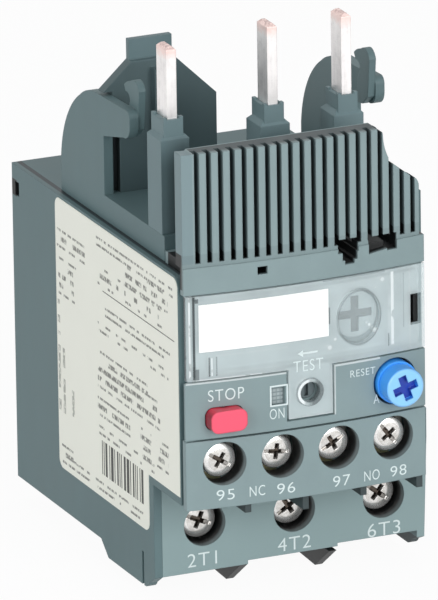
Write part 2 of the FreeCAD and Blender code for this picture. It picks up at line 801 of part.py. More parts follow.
def plunger(solid, place, bore_radius, travel):
    """Push button: bored out behind for its spring, with a stem down the middle."""
    bore_end = -button_floor - spring_length - travel - 0.2
    bore = rod(place[0], place[1], bore_radius, bore_end, -button_floor)
    stem = rod(place[0], place[1], stem_radius, bore_end - 0.2, -button_floor + floor_thick - 0.1)
    return joined([solid.cut(bore), stem])


def stop_button():
    x, z = stop_place
    rear = -button_floor - stop_travel - 0.3
    body = stop_bar(0.0, -stop_front, rear)
    return plunger(body, stop_place, 1.7, stop_travel)


def reset_plunger():
    x, z = reset_place
    rear = -button_floor - reset_travel - 0.3
    body = rod(x, z, reset_radius, -reset_front + reset_cap_length + 0.05, rear)
    spigot = rod(x, z, 1.2, -reset_front + 1.4, -reset_front + reset_cap_length + 1)
    return plunger(joined([body, spigot]), reset_place, 1.9, reset_travel)


def reset_button():
    x, z = reset_place
    body = rod(x, z, reset_cap_radius, -reset_front, -reset_front + reset_cap_length)
    body = body.makeChamfer(0.25, [e for e in body.Edges if abs(e.BoundBox.YMax + reset_front) < 0.01])
    socket = rod(x, z, 1.2 + button_fit, -reset_front + 1.3, -reset_front + reset_cap_length + 1)
    half = reset_cross_width / 2
    floor = -reset_front + reset_cross_depth
    cross = [box(x - reset_cross_reach, x + reset_cross_reach, -reset_front - 1, floor, z - half, z + half),
             box(x - half, x + half, -reset_front - 1, floor, z - reset_cross_reach, z + reset_cross_reach)]
    for arm in cross:
        arm.rotate(FreeCAD.Vector(x, 0, z), FreeCAD.Vector(0, 1, 0), -reset_cross_turn)
    return body.cut([socket] + cross)


def test_button():
    x, z = test_place
    front = surface_y(x, test_inset)
    rear = -button_floor - test_travel - 0.3
    body = rod(x, z, test_radius, front, rear)
    stem = rod(x, z, stem_radius, rear - 0.2, -button_floor + floor_thick - 0.1)
    slot = box(x - 0.3, x + 0.3, front - 1, front + 0.7, z - 1.0, z + 1.0)
    return joined([body, stem]).cut(slot)


def many_sided(x, z, radius, y_front, y_rear):
    """Prism along Y with as many sides as a spring turn."""
    corners = [(x + radius * math.cos(2 * math.pi * (k + 0.5) / spring_sides),
                z + radius * math.sin(2 * math.pi * (k + 0.5) / spring_sides)) for k in range(spring_sides)]
    return front_plate(corners, y_front, y_rear)


def ring_spring(place, radius):
    """Spring of flat turns, joined by pads in turn on either side, round the stem of its button."""
    x, z = place
    step = (spring_length - 2 * spring_wire) / (spring_turns - 1)
    parts = []
    for i in range(spring_turns):
        rear = -button_floor - step * i
        ring = many_sided(x, z, radius + spring_wire, rear - 2 * spring_wire, rear)
        parts.append(ring.cut(many_sided(x, z, radius - spring_wire, rear - 1, rear + 1)))
        side = 1 if i % 2 else -1
        if i:
            parts.append(box(x + side * (radius - 0.2), x + side * (radius + 0.2), rear - 0.1, rear + step,
                             z - 0.3, z + 0.3))
    return joined(parts)


# ---- Terminals ----

def clamp_screw(x, z, front, thick, head_radius, shank_radius, tip):
    """Cheese-head screw with a plain slot crossed by a shorter one."""
    head = rod(x, z, head_radius, front, front + thick)
    shank = rod(x, z, shank_radius, front + thick, tip)
    long_half = head_radius * slot_length_share
    wide = slot_width / 2
    slots = [box(x - long_half, x + long_half, front - 1, front + slot_depth, z - wide, z + wide),
             box(x - wide, x + wide, front - 1, front + slot_depth, z - long_half, z + long_half)]
    return joined([head, shank]).cut(slots)


def clamp_cage(x, z, width, height, wall, front, space, hole):
    """Box clamp: a ring that the screw draws forward along its axis."""
    outer = box(x - width / 2, x + width / 2, -front, -front + 2 * wall + space,
                z - height / 2, z + height / 2)
    side = wall * 0.75
    inner = box(x - width / 2 + side, x + width / 2 - side, -front + wall, -front + wall + space,
                z - height, z + height)
    return outer.cut([inner, rod(x, z, hole, -front - 1, -front + wall + 1)])


def main_screw(x):
    bar_front, _ = main_bar_y()
    return clamp_screw(x, main_height, -main_head_depth, main_head_thick,
                       main_head_radius, main_shank_radius, bar_front - tip_gap)


def main_cage(x):
    return clamp_cage(x, main_height, cage_width, cage_height, cage_wall, cage_front, cage_space,
                      main_shank_radius + pin_fit)


def aux_screw(x):
    bar_front, _ = aux_bar_y()
    return clamp_screw(x, aux_height, -aux_head_depth, aux_head_thick,
                       aux_head_radius, aux_shank_radius, bar_front - tip_gap / 2)


def aux_cage(x):
    return clamp_cage(x, aux_height, aux_cage_width, aux_cage_height, aux_cage_wall, aux_cage_front,
                      aux_cage_space, aux_shank_radius + pin_fit)


def terminal_bars():
    bar_front, bar_rear = main_bar_y()
    return Part.makeCompound([box(x - bar_half_width, x + bar_half_width, bar_front, bar_rear,
                                  main_height - 4.4, terminal_bar_top) for x in poles])


def contact_tip(x, z0, z1):
    """Contact pad on a leaf or an arm."""
    front, rear = aux_bar_y()
    return box(x - contact_size / 2, x + contact_size / 2, front, rear, z0, z1)


def fixed_contact(x, strap_x, top, reach, tip_up):
    """Auxiliary bar, its strap into the control panel and the contact tip at its end."""
    front, rear = aux_bar_y()
    ceiling = seam_height - aux_roof - 0.05
    half = strap_thick / 2
    bar = box(x - aux_bar_half_width, x + aux_bar_half_width, front, rear, aux_height - 4.6, ceiling)
    jog = box(min(strap_x - half, x), max(strap_x + half, x), front, rear, ceiling - 0.5, ceiling)
    strap = box(strap_x - half, strap_x + half, front, rear, ceiling - 0.5, top)
    inward = 1 if reach > strap_x else -1
    arm = box(strap_x - inward * half, reach + inward * leaf_overhang, front, rear, top - strap_thick, top)
    z0 = top if tip_up else top - strap_thick - contact_height
    z1 = z0 + contact_height
    tip = contact_tip(reach, min(z0, z1), max(z0, z1))
    return joined([bar, jog, strap, arm, tip])


def carrier_top():
    return lever_z - lever_tip - push_gap


def leaf_bottom():
    return carrier_top() + leaf_rise


def fixed_contacts_nc():
    top = leaf_bottom() + leaf_thick + 2 * contact_height + contact_gap + strap_thick
    return Part.makeCompound([fixed_contact(aux_places[i], strap_places[i], top, nc_contacts[i], False)
                              for i in range(2)])


def fixed_contacts_no():
    top = leaf_bottom() - 2 * contact_height - carrier_travel - contact_gap
    return Part.makeCompound([fixed_contact(aux_places[i + 2], strap_places[i + 2], top, no_contacts[i], True)
                              for i in range(2)])


def contact_bridge(contacts, up):
    """Leaf across two fixed contacts, with a tip over each."""
    front, rear = aux_bar_y()
    z0 = leaf_bottom()
    z1 = z0 + leaf_thick
    leaf = box(contacts[0] - leaf_overhang, contacts[1] + leaf_overhang, front, rear, z0, z1)
    low, high = (z1, z1 + contact_height) if up else (z0 - contact_height, z0)
    return joined([leaf] + [contact_tip(x, low, high) for x in contacts])


# ---- Poles ----

def plug_pins():
    pins = []
    for x, pin_top in zip(pin_places, pin_tops):
        pin = box(x - pin_width / 2, x + pin_width / 2, -pin_depth - pin_length / 2,
                  -pin_depth + pin_length / 2, chamber_top, pin_top)
        tip = [e for e in pin.Edges if e.BoundBox.ZMin > pin_top - 0.01]
        pins.append(pin.makeChamfer(pin_bevel, tip))
    return Part.makeCompound(pins)


def pin_sleeve(x):
    y = -pin_depth
    foot = box(x - sleeve_width / 2, x + sleeve_width / 2, y - sleeve_length / 2, y + sleeve_length / 2,
               platform_height, sleeve_top)
    if x - sleeve_width / 2 < inner_left:
        foot = foot.common(box(inner_left, right, y - 10, y + 10, 0, sleeve_top))
    shoulder = [e for e in foot.Edges if e.BoundBox.ZMin > sleeve_top - 0.01]
    foot = foot.makeChamfer(0.7, shoulder)
    half = collar_width / 2
    reach = collar_length / 2
    collar = box(x - half, x + half, y - reach, y + reach, sleeve_top - 1, collar_top)
    prongs = []
    for side in (-1, 1):
        for end in (-1, 1):
            prongs.append(box(x + side * half, x + side * (half - prong_width * 0.7),
                              y + end * reach, y + end * (reach - prong_width),
                              collar_top - 1, collar_top + prong_height))
    bore = box(x - pin_width / 2 - pin_fit, x + pin_width / 2 + pin_fit,
               y - pin_length / 2 - pin_fit, y + pin_length / 2 + pin_fit, 0, collar_top + 2)
    return joined([foot, collar] + prongs).cut(bore)


def pole_brackets():
    """Brackets below the roof that carry the bimetal strips and meet the pins."""
    return Part.makeCompound([box(pin - pin_width / 2, strip + strip_thick / 2 + 1.2,
                                  -pin_depth - pin_length / 2, -bracket_rear, chamber_top - bracket_thick, chamber_top)
                              for pin, strip in zip(pin_places, strip_places)])


def bimetal_strips():
    return Part.makeCompound([box(x - strip_thick / 2, x + strip_thick / 2, -strip_front, -strip_rear,
                                  strip_bottom, chamber_top - bracket_thick) for x in strip_places])


def band_round(x, inside, wall, z0, z1):
    """Rectangular band round a strip at a distance."""
    half = strip_thick / 2 + inside
    outer = box(x - half - wall, x + half + wall,
                -strip_front - inside - wall, -strip_rear + inside + wall, z0, z1)
    return outer.cut(box(x - half, x + half, -strip_front - inside, -strip_rear + inside, z0 - 1, z1 + 1))


def mica_sleeves():
    return Part.makeCompound([band_round(x, 0.0, mica_wall, mica_bottom, mica_top) for x in strip_places])


def heater_windings():
    pitch = (mica_top - mica_bottom - winding_height) / (winding_turns - 1)
    turns = []
    for x in strip_places:
        for i in range(winding_turns):
            z = mica_bottom + pitch * i
            turns.append(band_round(x, mica_wall, winding_wall, z, z + winding_height))
    return Part.makeCompound(turns)


# ---- Barriers ----

def pole_barriers():
    """Black webs between the wire entries, below the housing."""
    half = barrier_wall / 2
    path = [(-skirt_rear, 0), (-skirt_rear - 3, -barrier_drop + 0.5), (-barrier_front, -barrier_drop),
            (face_plane, 0)]
    return Part.makeCompound([side_plate(path, x - half, x + half) for x in barrier_places])


def aux_barriers():
    """Black webs between the auxiliary wire entries, with a level underside."""
    half = aux_barrier_wall / 2
    webs = []
    for x, drop, shift in zip(aux_places, aux_barrier_drops, aux_barrier_shifts):
        middle = x + aux_pitch / 2 + shift
        front = front_edge + 0.2
        path = [(front, row_bottom), (front, row_bottom - drop),
                (front + aux_barrier_length, row_bottom - drop),
                (front + aux_barrier_length + aux_barrier_rise, row_bottom)]
        webs.append(side_plate(path, middle - half, middle + half))
    return Part.makeCompound(webs)


# ---- Trip mechanism ----

def slider(z0, fingers):
    """Push bar across the poles with a finger beside each strip."""
    bar = box(slider_left, slider_right, -slider_front, -slider_rear, z0, z0 + slider_height)
    pegs = [box(x, x + finger_wall, -slider_rear - 0.5, -finger_reach, z0, z0 + slider_height)
            for x in fingers]
    return [bar] + pegs


def trip_slider():
    fingers = [x + strip_thick / 2 + finger_gap for x in strip_places]
    nose = box(nose_right - nose_wall, nose_right, -lever_front, -slider_front + 0.5,
               cavity_bottom + 0.2, slider_bottom + slider_height)
    return joined(slider(slider_bottom, fingers) + [nose])


def differential_slider():
    fingers = [x - strip_thick / 2 - slider_travel - finger_gap - finger_wall for x in strip_places]
    return joined(slider(slider_bottom + slider_height + slider_gap, fingers))


def trip_lever():
    y0 = -lever_front
    y1 = y0 + lever_thick
    arm = lever_web / 2
    parts = [rod(lever_x, lever_z, lever_boss, y0, y1),
             rod(lever_x, lever_z - lower_arm, lever_tip, y0, y1),
             rod(lever_x - carrier_arm, lever_z, lever_tip, y0, y1),
             box(lever_x - arm, lever_x + arm, y0, y1, lever_z - lower_arm, lever_z),
             box(lever_x - carrier_arm, lever_x, y0, y1, lever_z - arm, lever_z + arm)]
    return joined(parts).cut(rod(lever_x, lever_z, lever_pin_radius + lever_fit, y0 - 1, y1 + 1))


def trip_lever_pin():
    return rod(lever_x, lever_z, lever_pin_radius, -button_floor + 0.05, upper_plane - 0.3)


def contact_carrier():
    y0 = -lever_front
    y1 = y0 + lever_thick
    top = carrier_top()
    front, _ = aux_bar_y()
    parts = [box(carrier_left, carrier_right, y0, y1, top - carrier_height, top)]
    for x in carrier_posts:
        parts.append(box(x - 0.5, x + 0.5, front, y1, top - 0.5, leaf_bottom()))
    x, z = flag_window
    flag_rear = surface_y(x) + flag_inset + flag_thick
    parts.append(box(x - 0.7, x + 0.7, flag_rear, y1, z - 0.5, z + 0.5))
    return joined(parts)


def trip_flag():
    x, z = flag_window
    wide = flag_window_width / 2 + 0.5
    high = flag_window_height / 2 + 0.4
    front = surface_y(x) + flag_inset
    return box(x - wide, x + wide, front, front + flag_thick, z - high, z + high)


def write_part(name, shape):
    """Write one sub-part to its STEP file."""
    shape.exportStep("parts/" + name + ".step")
    print(name, "solids", len(shape.Solids), "valid", shape.isValid(), "volume", round(shape.Volume, 1))


def write_all():
    os.makedirs("parts", exist_ok=True)
    write_part("base_housing", base_housing())
    write_part("cross_wall", cross_wall())
    write_part("side_cover", side_cover())
    write_part("rating_label", rating_label())
    write_part("ribbed_cap", ribbed_cap())
    write_part("control_panel", control_panel())
    write_part("aux_terminal_housing", aux_terminal_housing())
    write_part("clear_cover", clear_cover())
    write_part("marker_card", marker_card())
    write_part("setting_dial", setting_dial())
    write_part("setting_cam", setting_cam())
    write_part("stop_button", stop_button())
    write_part("stop_spring", ring_spring(stop_place, 1.25))
    write_part("reset_plunger", reset_plunger())
    write_part("reset_button", reset_button())
    write_part("reset_spring", ring_spring(reset_place, 1.4))
    write_part("test_button", test_button())
    for i, x in enumerate(poles):
        write_part("main_screw_%d" % (i + 1), main_screw(x))
        write_part("main_cage_%d" % (i + 1), main_cage(x))
    for i, x in enumerate(aux_places):
        write_part("aux_screw_%d" % (95 + i), aux_screw(x))
        write_part("aux_cage_%d" % (95 + i), aux_cage(x))
    write_part("terminal_bars", terminal_bars())
    write_part("fixed_contacts_nc", fixed_contacts_nc())
    write_part("fixed_contacts_no", fixed_contacts_no())
    write_part("contact_bridge_nc", contact_bridge(nc_contacts, True))
    write_part("contact_bridge_no", contact_bridge(no_contacts, False))
    write_part("plug_pins", plug_pins())
    for i, x in enumerate(pin_places):
        write_part("pin_sleeve_%d" % (i + 1), pin_sleeve(x))
    write_part("pole_brackets", pole_brackets())
    write_part("bimetal_strips", bimetal_strips())
    write_part("mica_sleeves", mica_sleeves())
    write_part("heater_windings", heater_windings())
    write_part("pole_barriers", pole_barriers())
    write_part("aux_barriers", aux_barriers())
    write_part("trip_slider", trip_slider())
    write_part("differential_slider", differential_slider())
    write_part("trip_lever", trip_lever())
    write_part("trip_lever_pin", trip_lever_pin())
    write_part("contact_carrier", contact_carrier())
    write_part("trip_flag", trip_flag())


write_all()
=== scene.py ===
import bpy
import bmesh
import math
from mathutils import Matrix, Vector


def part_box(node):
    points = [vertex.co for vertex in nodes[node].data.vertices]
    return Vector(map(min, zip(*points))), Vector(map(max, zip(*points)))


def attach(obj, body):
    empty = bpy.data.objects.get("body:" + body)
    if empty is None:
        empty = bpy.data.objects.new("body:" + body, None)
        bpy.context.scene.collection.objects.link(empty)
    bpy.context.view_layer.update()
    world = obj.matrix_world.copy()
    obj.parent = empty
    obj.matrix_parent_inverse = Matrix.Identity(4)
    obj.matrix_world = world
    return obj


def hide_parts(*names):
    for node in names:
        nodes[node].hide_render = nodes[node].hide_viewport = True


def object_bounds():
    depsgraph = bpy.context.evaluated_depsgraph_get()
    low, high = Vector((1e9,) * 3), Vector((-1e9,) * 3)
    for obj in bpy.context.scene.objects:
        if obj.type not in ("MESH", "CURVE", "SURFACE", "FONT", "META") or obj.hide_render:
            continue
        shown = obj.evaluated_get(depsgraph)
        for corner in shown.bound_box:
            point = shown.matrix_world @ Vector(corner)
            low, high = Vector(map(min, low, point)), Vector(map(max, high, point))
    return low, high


# Thermal overload relay dressed on its CAD frame. Sizes in the tables are millimetres.

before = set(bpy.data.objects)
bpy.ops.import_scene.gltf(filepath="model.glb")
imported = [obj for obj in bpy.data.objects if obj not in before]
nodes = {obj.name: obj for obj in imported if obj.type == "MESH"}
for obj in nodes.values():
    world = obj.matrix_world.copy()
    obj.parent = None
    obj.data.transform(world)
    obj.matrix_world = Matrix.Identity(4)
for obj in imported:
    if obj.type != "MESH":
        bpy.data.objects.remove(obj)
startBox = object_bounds()
mm = 0.001
print("frame loaded:", len(nodes), "nodes")

# the bowed front of the relay, as the CAD makes it
bow = {"edge": -65.7, "rise": 1.4, "left": -22.45, "width": 39.2}
bowMiddle = bow["left"] + bow["width"] / 2
bowRadius = (bow["width"] ** 2 / 4 + bow["rise"] ** 2) / (2 * bow["rise"])
bowCentre = bow["edge"] - bow["rise"] + bowRadius


def frontAt(x, inset=0.0):
    # y of the bowed front at x
    return bowCentre - math.sqrt((bowRadius - inset) ** 2 - (x - bowMiddle) ** 2)


def srgb(r, g, b):
    # 8-bit display colour to linear
    def lin(v):
        v /= 255
        return v / 12.92 if v <= 0.04045 else ((v + 0.055) / 1.055) ** 2.4
    return (lin(r), lin(g), lin(b), 1.0)


class Wire:
    # a socket that can be used in plain sums
    def __init__(self, mat, socket):
        self.mat = mat
        self.socket = socket

    def math(self, op, other=0.0, flip=False):
        pair = [other, self] if flip else [self, other]
        return self.mat.node("ShaderNodeMath", {"operation": op}, {0: pair[0], 1: pair[1]})

    def __add__(self, o): return self.math("ADD", o)
    def __radd__(self, o): return self.math("ADD", o, True)
    def __sub__(self, o): return self.math("SUBTRACT", o)
    def __rsub__(self, o): return self.math("SUBTRACT", o, True)
    def __mul__(self, o): return self.math("MULTIPLY", o)
    def __rmul__(self, o): return self.math("MULTIPLY", o, True)
    def __gt__(self, o): return self.math("GREATER_THAN", o)
    def __lt__(self, o): return self.math("LESS_THAN", o)
    def __or__(self, o): return self.math("MAXIMUM", o)
    def __ror__(self, o): return self.math("MAXIMUM", o, True)
    def __and__(self, o): return self.math("MINIMUM", o)


class Finish:
    # one node material; node() makes any node and hands back one output
    def __init__(self, name):
        self.material = bpy.data.materials.new(name)
        self.material.use_nodes = True
        self.tree = self.material.node_tree
        self.tree.nodes.clear()
        self.out = self.tree.nodes.new("ShaderNodeOutputMaterial")
        self.shader = self.tree.nodes.new("ShaderNodeBsdfPrincipled")
        self.tree.links.new(self.shader.outputs[0], self.out.inputs["Surface"])
        self.place = self.node("ShaderNodeTexCoord", {}, {}, "Object")

    def node(self, kind, settings=None, inputs=None, output=0):
        made = self.tree.nodes.new(kind)
        for key, value in (settings or {}).items():
            if key == "stops":
                ramp = made.color_ramp
                while len(ramp.elements) < len(value):
                    ramp.elements.new(0.5)
                for element, (at, colour) in zip(ramp.elements, value):
                    element.position = at
                    element.color = colour
            else:
                setattr(made, key, value)
        for key, value in (inputs or {}).items():
            self.feed(made.inputs[key], value)
        return Wire(self, made.outputs[output])

    def feed(self, socket, value):
        if isinstance(value, Wire):
            self.tree.links.new(value.socket, socket)
        else:
            socket.default_value = value

    def set(self, **values):
        for key, value in values.items():
            self.feed(self.shader.inputs[key.replace("_", " ")], value)
        return self

    def at(self, scale=(1, 1, 1), turn=(0, 0, 0), move=(0, 0, 0)):
        return self.node("ShaderNodeMapping", {}, {"Vector": self.place, "Scale": scale, "Rotation": turn,
                                                   "Location": move})

    def noise(self, size, detail=2.0, rough=0.5, where=None):
        # size in millimetres of one blotch
        return self.node("ShaderNodeTexNoise", {}, {"Vector": where or self.place, "Scale": 1 / (size * mm),
                                                    "Detail": detail, "Roughness": rough})

    def ramp(self, value, stops):
        return self.node("ShaderNodeValToRGB", {"stops": stops}, {"Fac": value})

    def mix(self, factor, a, b):
        made = self.tree.nodes.new("ShaderNodeMix")
        made.data_type = "RGBA"
        self.feed(made.inputs["Factor"], factor)
        self.feed(made.inputs[6], a)
        self.feed(made.inputs[7], b)
        return Wire(self, made.outputs[2])

    def xyz(self):
        # the point in millimetres
        scaled = self.at((1 / mm, 1 / mm, 1 / mm))
        return [self.node("ShaderNodeSeparateXYZ", {}, {0: scaled}, axis) for axis in range(3)]

    def fade(self, value, start, end):
        # 0 at start, 1 at end
        return self.node("ShaderNodeMapRange", {"clamp": True},
                         {"Value": value, "From Min": start, "From Max": end})

    def within(self, value, low, high, soft=0.05):
        return self.fade(value, low - soft, low + soft) & self.fade(value, high + soft, high - soft)

    def relief(self, height, depth, strength=1.0, edge=0.0):
        # depth in millimetres; edge rounds the corners that catch the light
        inputs = {"Height": height, "Distance": depth * mm, "Strength": strength}
        if edge:
            inputs["Normal"] = self.node("ShaderNodeBevel", {"samples": 4}, {"Radius": edge * mm})
        return self.node("ShaderNodeBump", {}, inputs)


def shade(colour, factor):
    return tuple(c * factor for c in colour[:3]) + (1.0,)


def mouldedPlastic(name, colour, rough=0.5, grain=0.16, edge=0.18, blotch=0.07, coat=0.0, marks=None):
    # marks(f, tone) paints over the plain tone: painted shade in recesses, painted highlights on edges, and other
    # marks such as seams and ruled lines
    f = Finish(name)
    cloud = f.noise(9.0, 3.0, 0.55)
    speck = f.noise(0.35, 2.0, 0.6)
    flow = f.noise(3.0, 2.0, 0.5, f.at((1, 1, 0.25)))
    tone = f.ramp(cloud * 0.6 + flow * 0.25 + speck * 0.15, [
        (0.30, shade(colour, 1 - blotch)), (0.52, colour), (0.72, shade(colour, 1 + blotch))])
    if marks:
        tone = marks(f, tone)
    f.set(Base_Color=tone, Roughness=rough - 0.07 + cloud * 0.09 + speck * 0.06)
    f.set(Normal=f.relief(speck, 0.02, grain, edge), Specular_IOR_Level=0.45)
    if coat:
        f.set(Coat_Weight=coat, Coat_Roughness=0.12)
    return f.material


def brightMetal(name, colour, rough=0.28, edge=0.1, scratch=0.25, tarnish=0.25, marks=None, metallic=1.0):
    f = Finish(name)
    cloud = f.noise(1.6, 3.0, 0.6)
    fine = f.noise(0.12, 2.0, 0.5, f.at((1, 0.15, 1)))
    tone = f.ramp(cloud * 0.7 + fine * 0.3, [(0.32, shade(colour, 1 - tarnish)), (0.5, colour),
                                             (0.75, shade(colour, 1.12))])
    if marks:
        tone = marks(f, tone)
    f.set(Base_Color=tone, Metallic=metallic, Roughness=rough - 0.08 + cloud * 0.16)
    f.set(Normal=f.relief(fine, 0.01, scratch, edge))
    return f.material


# places of the screws as x and z, plane of the main terminals, radius of the screw holes, depths of the painted
# shade inside them
terminals = {
    "main": [(x, 7.4) for x in (-14.2, 0.55, 15.3)], "aux": [(x, 21.4) for x in (-16.45, -7.25, 1.95, 11.15)],
    "mainFace": -53.3, "hole": 3.42, "rimDepth": (0.02, 0.1), "darkDepth": (0.75, 1.5)}

# near-black painted shade for the deep insides of holes, slots, wells and openings
paintedShade = srgb(12, 15, 16)
# painted light and shade among these: the cross wall's dark tone and its lighter tab, the main face's lighter
# tone, the sleeve's shadow, the web tone where it lies on the housing's skirt, the hole walls, the grooves, the
# panel lips' highlight, the cap edges' tone, the dial cross, the lit end faces of the stop and reset buttons, the
# stop's shaded flank, the reset recess and part of the screw recess
paint = {
    "housing": srgb(90, 113, 116), "wall": srgb(72, 90, 93), "tab": srgb(92, 114, 118),
    "front": srgb(129, 148, 150), "mainFace": srgb(140, 161, 162), "sleeve": srgb(102, 124, 128),
    "sleeveShade": srgb(20, 28, 31), "web": srgb(52, 64, 66), "card": srgb(250, 251, 249),
    "dial": srgb(182, 195, 197), "dialCrossShade": srgb(28, 40, 42), "stop": srgb(226, 48, 74),
    "stopFaceHighlight": srgb(250, 92, 120), "stopShade": srgb(150, 22, 44), "reset": srgb(62, 160, 250),
    "resetFaceHighlight": srgb(140, 204, 248), "resetRecessShade": srgb(8, 58, 172), "black": srgb(24, 27, 28),
    "white": srgb(214, 214, 206), "print": srgb(214, 226, 226), "seam": srgb(34, 46, 50),
    "holeWallShade": srgb(104, 117, 119), "grooveShade": srgb(24, 34, 38), "panelLipHighlight": srgb(206, 215, 215),
    "flag": srgb(172, 184, 186), "flagLine": srgb(108, 122, 125), "recess": srgb(92, 84, 76),
    "capEdgeShade": srgb(118, 138, 142), "test": srgb(92, 104, 107), "mica": srgb(168, 150, 116),
    "ink": srgb(60, 62, 58)}


def patch(f, x, z, area, softX=0.05, softZ=0.05):
    # 1 inside an area of two x and two z values
    return f.within(x, area[0], area[1], softX) * f.within(z, area[2], area[3], softZ)


def discs(x, z, centres, radius):
    # 1 inside any of the round places
    inside = 0.0
    for px, pz in centres:
        dx = x - px
        dz = z - pz
        inside = (dx * dx + dz * dz < radius ** 2) | inside
    return inside


def holeShade(f, tone, places, depth):
    # painted shade in the screw holes: dark just inside the mouth, nearly black further down
    x, y, z = f.xyz()
    inside = discs(x, z, places, terminals["hole"])
    rim = f.mix(inside * f.fade(depth, *terminals["rimDepth"]), tone, paint["holeWallShade"])
    return f.mix(inside * f.fade(depth, *terminals["darkDepth"]), rim, paintedShade)


def frontDepth(f, x, y):
    # how far a point lies behind the bowed front
    across = x - bowMiddle
    return y - bowCentre + (bowRadius ** 2 - across * across).math("SQRT")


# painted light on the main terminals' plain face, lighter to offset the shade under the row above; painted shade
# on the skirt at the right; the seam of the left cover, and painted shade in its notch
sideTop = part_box("side_cover")[1][2] / mm
shell = {"faceRear": -53.1, "faceTop": 14.8, "skirtTop": -0.02, "skirtLeft": 18.8, "lid": (-21.75, -20.95),
         "lidDrop": 0.5, "lidRise": 0.1, "notch": (45.6, 48.2), "notchFront": -1.9, "soft": 0.05}


def housingMarks(f, tone):
    x, y, z = f.xyz()
    face = (y < shell["faceRear"]) * (z < shell["faceTop"])
    tone = f.mix(face * 0.85, tone, paint["mainFace"])
    tone = f.mix((z < shell["skirtTop"]) * (x > shell["skirtLeft"]), tone, paint["web"])
    edge = shell["lid"][1]
    lid = f.fade(x, edge + shell["soft"], edge - shell["soft"])
    lid = lid * f.within(z, sideTop - shell["lidDrop"], sideTop + shell["lidRise"], 0.03)
    tone = f.mix(lid, tone, paint["seam"])
    return holeShade(f, tone, terminals["main"], y - terminals["mainFace"])


def sideMarks(f, tone):
    x, y, z = f.xyz()
    edge = shell["lid"][0]
    lid = f.fade(x, edge - shell["soft"], edge + shell["soft"]) * (z > sideTop - 0.06)
    tone = f.mix(lid, tone, paint["seam"])
    notch = f.within(z, *shell["notch"]) * (y > shell["notchFront"])
    return f.mix(notch, tone, paintedShade)


# painted shade: the cross wall is painted darker than the housing, the tab above the ledge is painted lighter
# where light reaches it, and the foot of the slot is nearly black
wall = {"tabZ": (74.6, 75.2), "tabRear": -30.0, "slotRight": -18.4, "slotTop": 69.0, "slotFront": -33.1}


def wallShade(f, tone):
    x, y, z = f.xyz()
    tone = f.mix(f.fade(z, *wall["tabZ"]) * (y < wall["tabRear"]), tone, paint["tab"])
    slot = (x < wall["slotRight"]) * (z < wall["slotTop"]) * (y > wall["slotFront"])
    return f.mix(slot * 0.8, tone, paintedShade)


# painted shadow of the ribbed cap on the first sleeve's front, darker towards the cap
sleeve = {"front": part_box("pin_sleeve_1")[0][1] / mm, "skin": 0.25, "right": -14.0,
          "across": (-20.6, -17.8), "down": (70.5, 64.0)}


def sleeveShadow(f, tone):
    x, y, z = f.xyz()
    face = (y < sleeve["front"] + sleeve["skin"]) * (x < sleeve["right"])
    dark = face * f.fade(x, *sleeve["across"]) * f.fade(z, *sleeve["down"])
    return f.mix(dark, tone, paint["sleeveShade"])


# painted shade in the aux screw holes
def auxHoleShade(f, tone):
    x, y, z = f.xyz()
    return holeShade(f, tone, terminals["aux"], frontDepth(f, x, y))


# painted shade in the grooves of the grille and in the latch openings below it; the flange top and left flank get
# a painted shade tone
cap = {"grooves": (-20.4, 20.2, 53.0, 70.2), "grooveDepth": (0.35, 1.3), "grooveRear": -62.9, "flange": 70.3,
       "flank": -20.75, "hollow": (49.0, 54.4), "hollowDepth": (0.12, 0.8), "hollowRear": -57.0}


def capShade(f, tone):
    x, y, z = f.xyz()
    depth = frontDepth(f, x, y)
    grooveShade = patch(f, x, z, cap["grooves"]) * f.fade(depth, *cap["grooveDepth"]) * (y < cap["grooveRear"])
    tone = f.mix(grooveShade * 0.85, tone, paint["grooveShade"])
    edges = (z > cap["flange"]) | (x < cap["flank"]) * (z > cap["grooves"][2])
    tone = f.mix(edges, tone, paint["capEdgeShade"])
    hollow = f.within(z, *cap["hollow"]) * f.fade(depth, *cap["hollowDepth"]) * (y < cap["hollowRear"])
    return f.mix(hollow, tone, paintedShade)


# painted highlights along the lips of the tongue's recess, painted shade in the latch window and button wells
panel = {"lips": [(1.25, 1.5, 26.7, 34.4), (1.25, 9.0, 34.2, 34.55), (-22.3, -6.5, 34.25, 34.6)], "lipDepth": 0.6,
         "latch": (13.9, 16.3, 38.4, 43.7), "latchDepth": (0.6, 1.0), "reset": (11.5, 30.3), "resetWell": 3.6,
         "resetDepth": (0.1, 0.5), "stop": (-19.6, -13.2, 26.6, 30.6), "stopDepth": (0.1, 0.6)}


def panelLightAndShade(f, tone):
    x, y, z = f.xyz()
    depth = frontDepth(f, x, y)
    lips = 0.0
    for area in panel["lips"]:
        lips = patch(f, x, z, area) | lips
    tone = f.mix(lips * (depth < panel["lipDepth"]) * 0.8, tone, paint["panelLipHighlight"])
    latch = patch(f, x, z, panel["latch"]) * f.fade(depth, *panel["latchDepth"])
    well = discs(x, z, [panel["reset"]], panel["resetWell"]) * f.fade(depth, *panel["resetDepth"])
    stop = patch(f, x, z, panel["stop"]) * f.fade(depth, *panel["stopDepth"])
    return f.mix(latch | well | stop, tone, paintedShade)


# warm copper shows through the tin near the tips, with pale streaks down the blades
pins = {"leftEdge": -17.0, "leftTop": 82.3, "top": 83.7, "warm": (83.4, 84.6), "burnt": (84.1, 84.5),
        "streak": (0.96, 0.94, 0.93, 1), "copper": (0.90, 0.62, 0.56, 1), "scorch": (0.42, 0.28, 0.27, 1)}


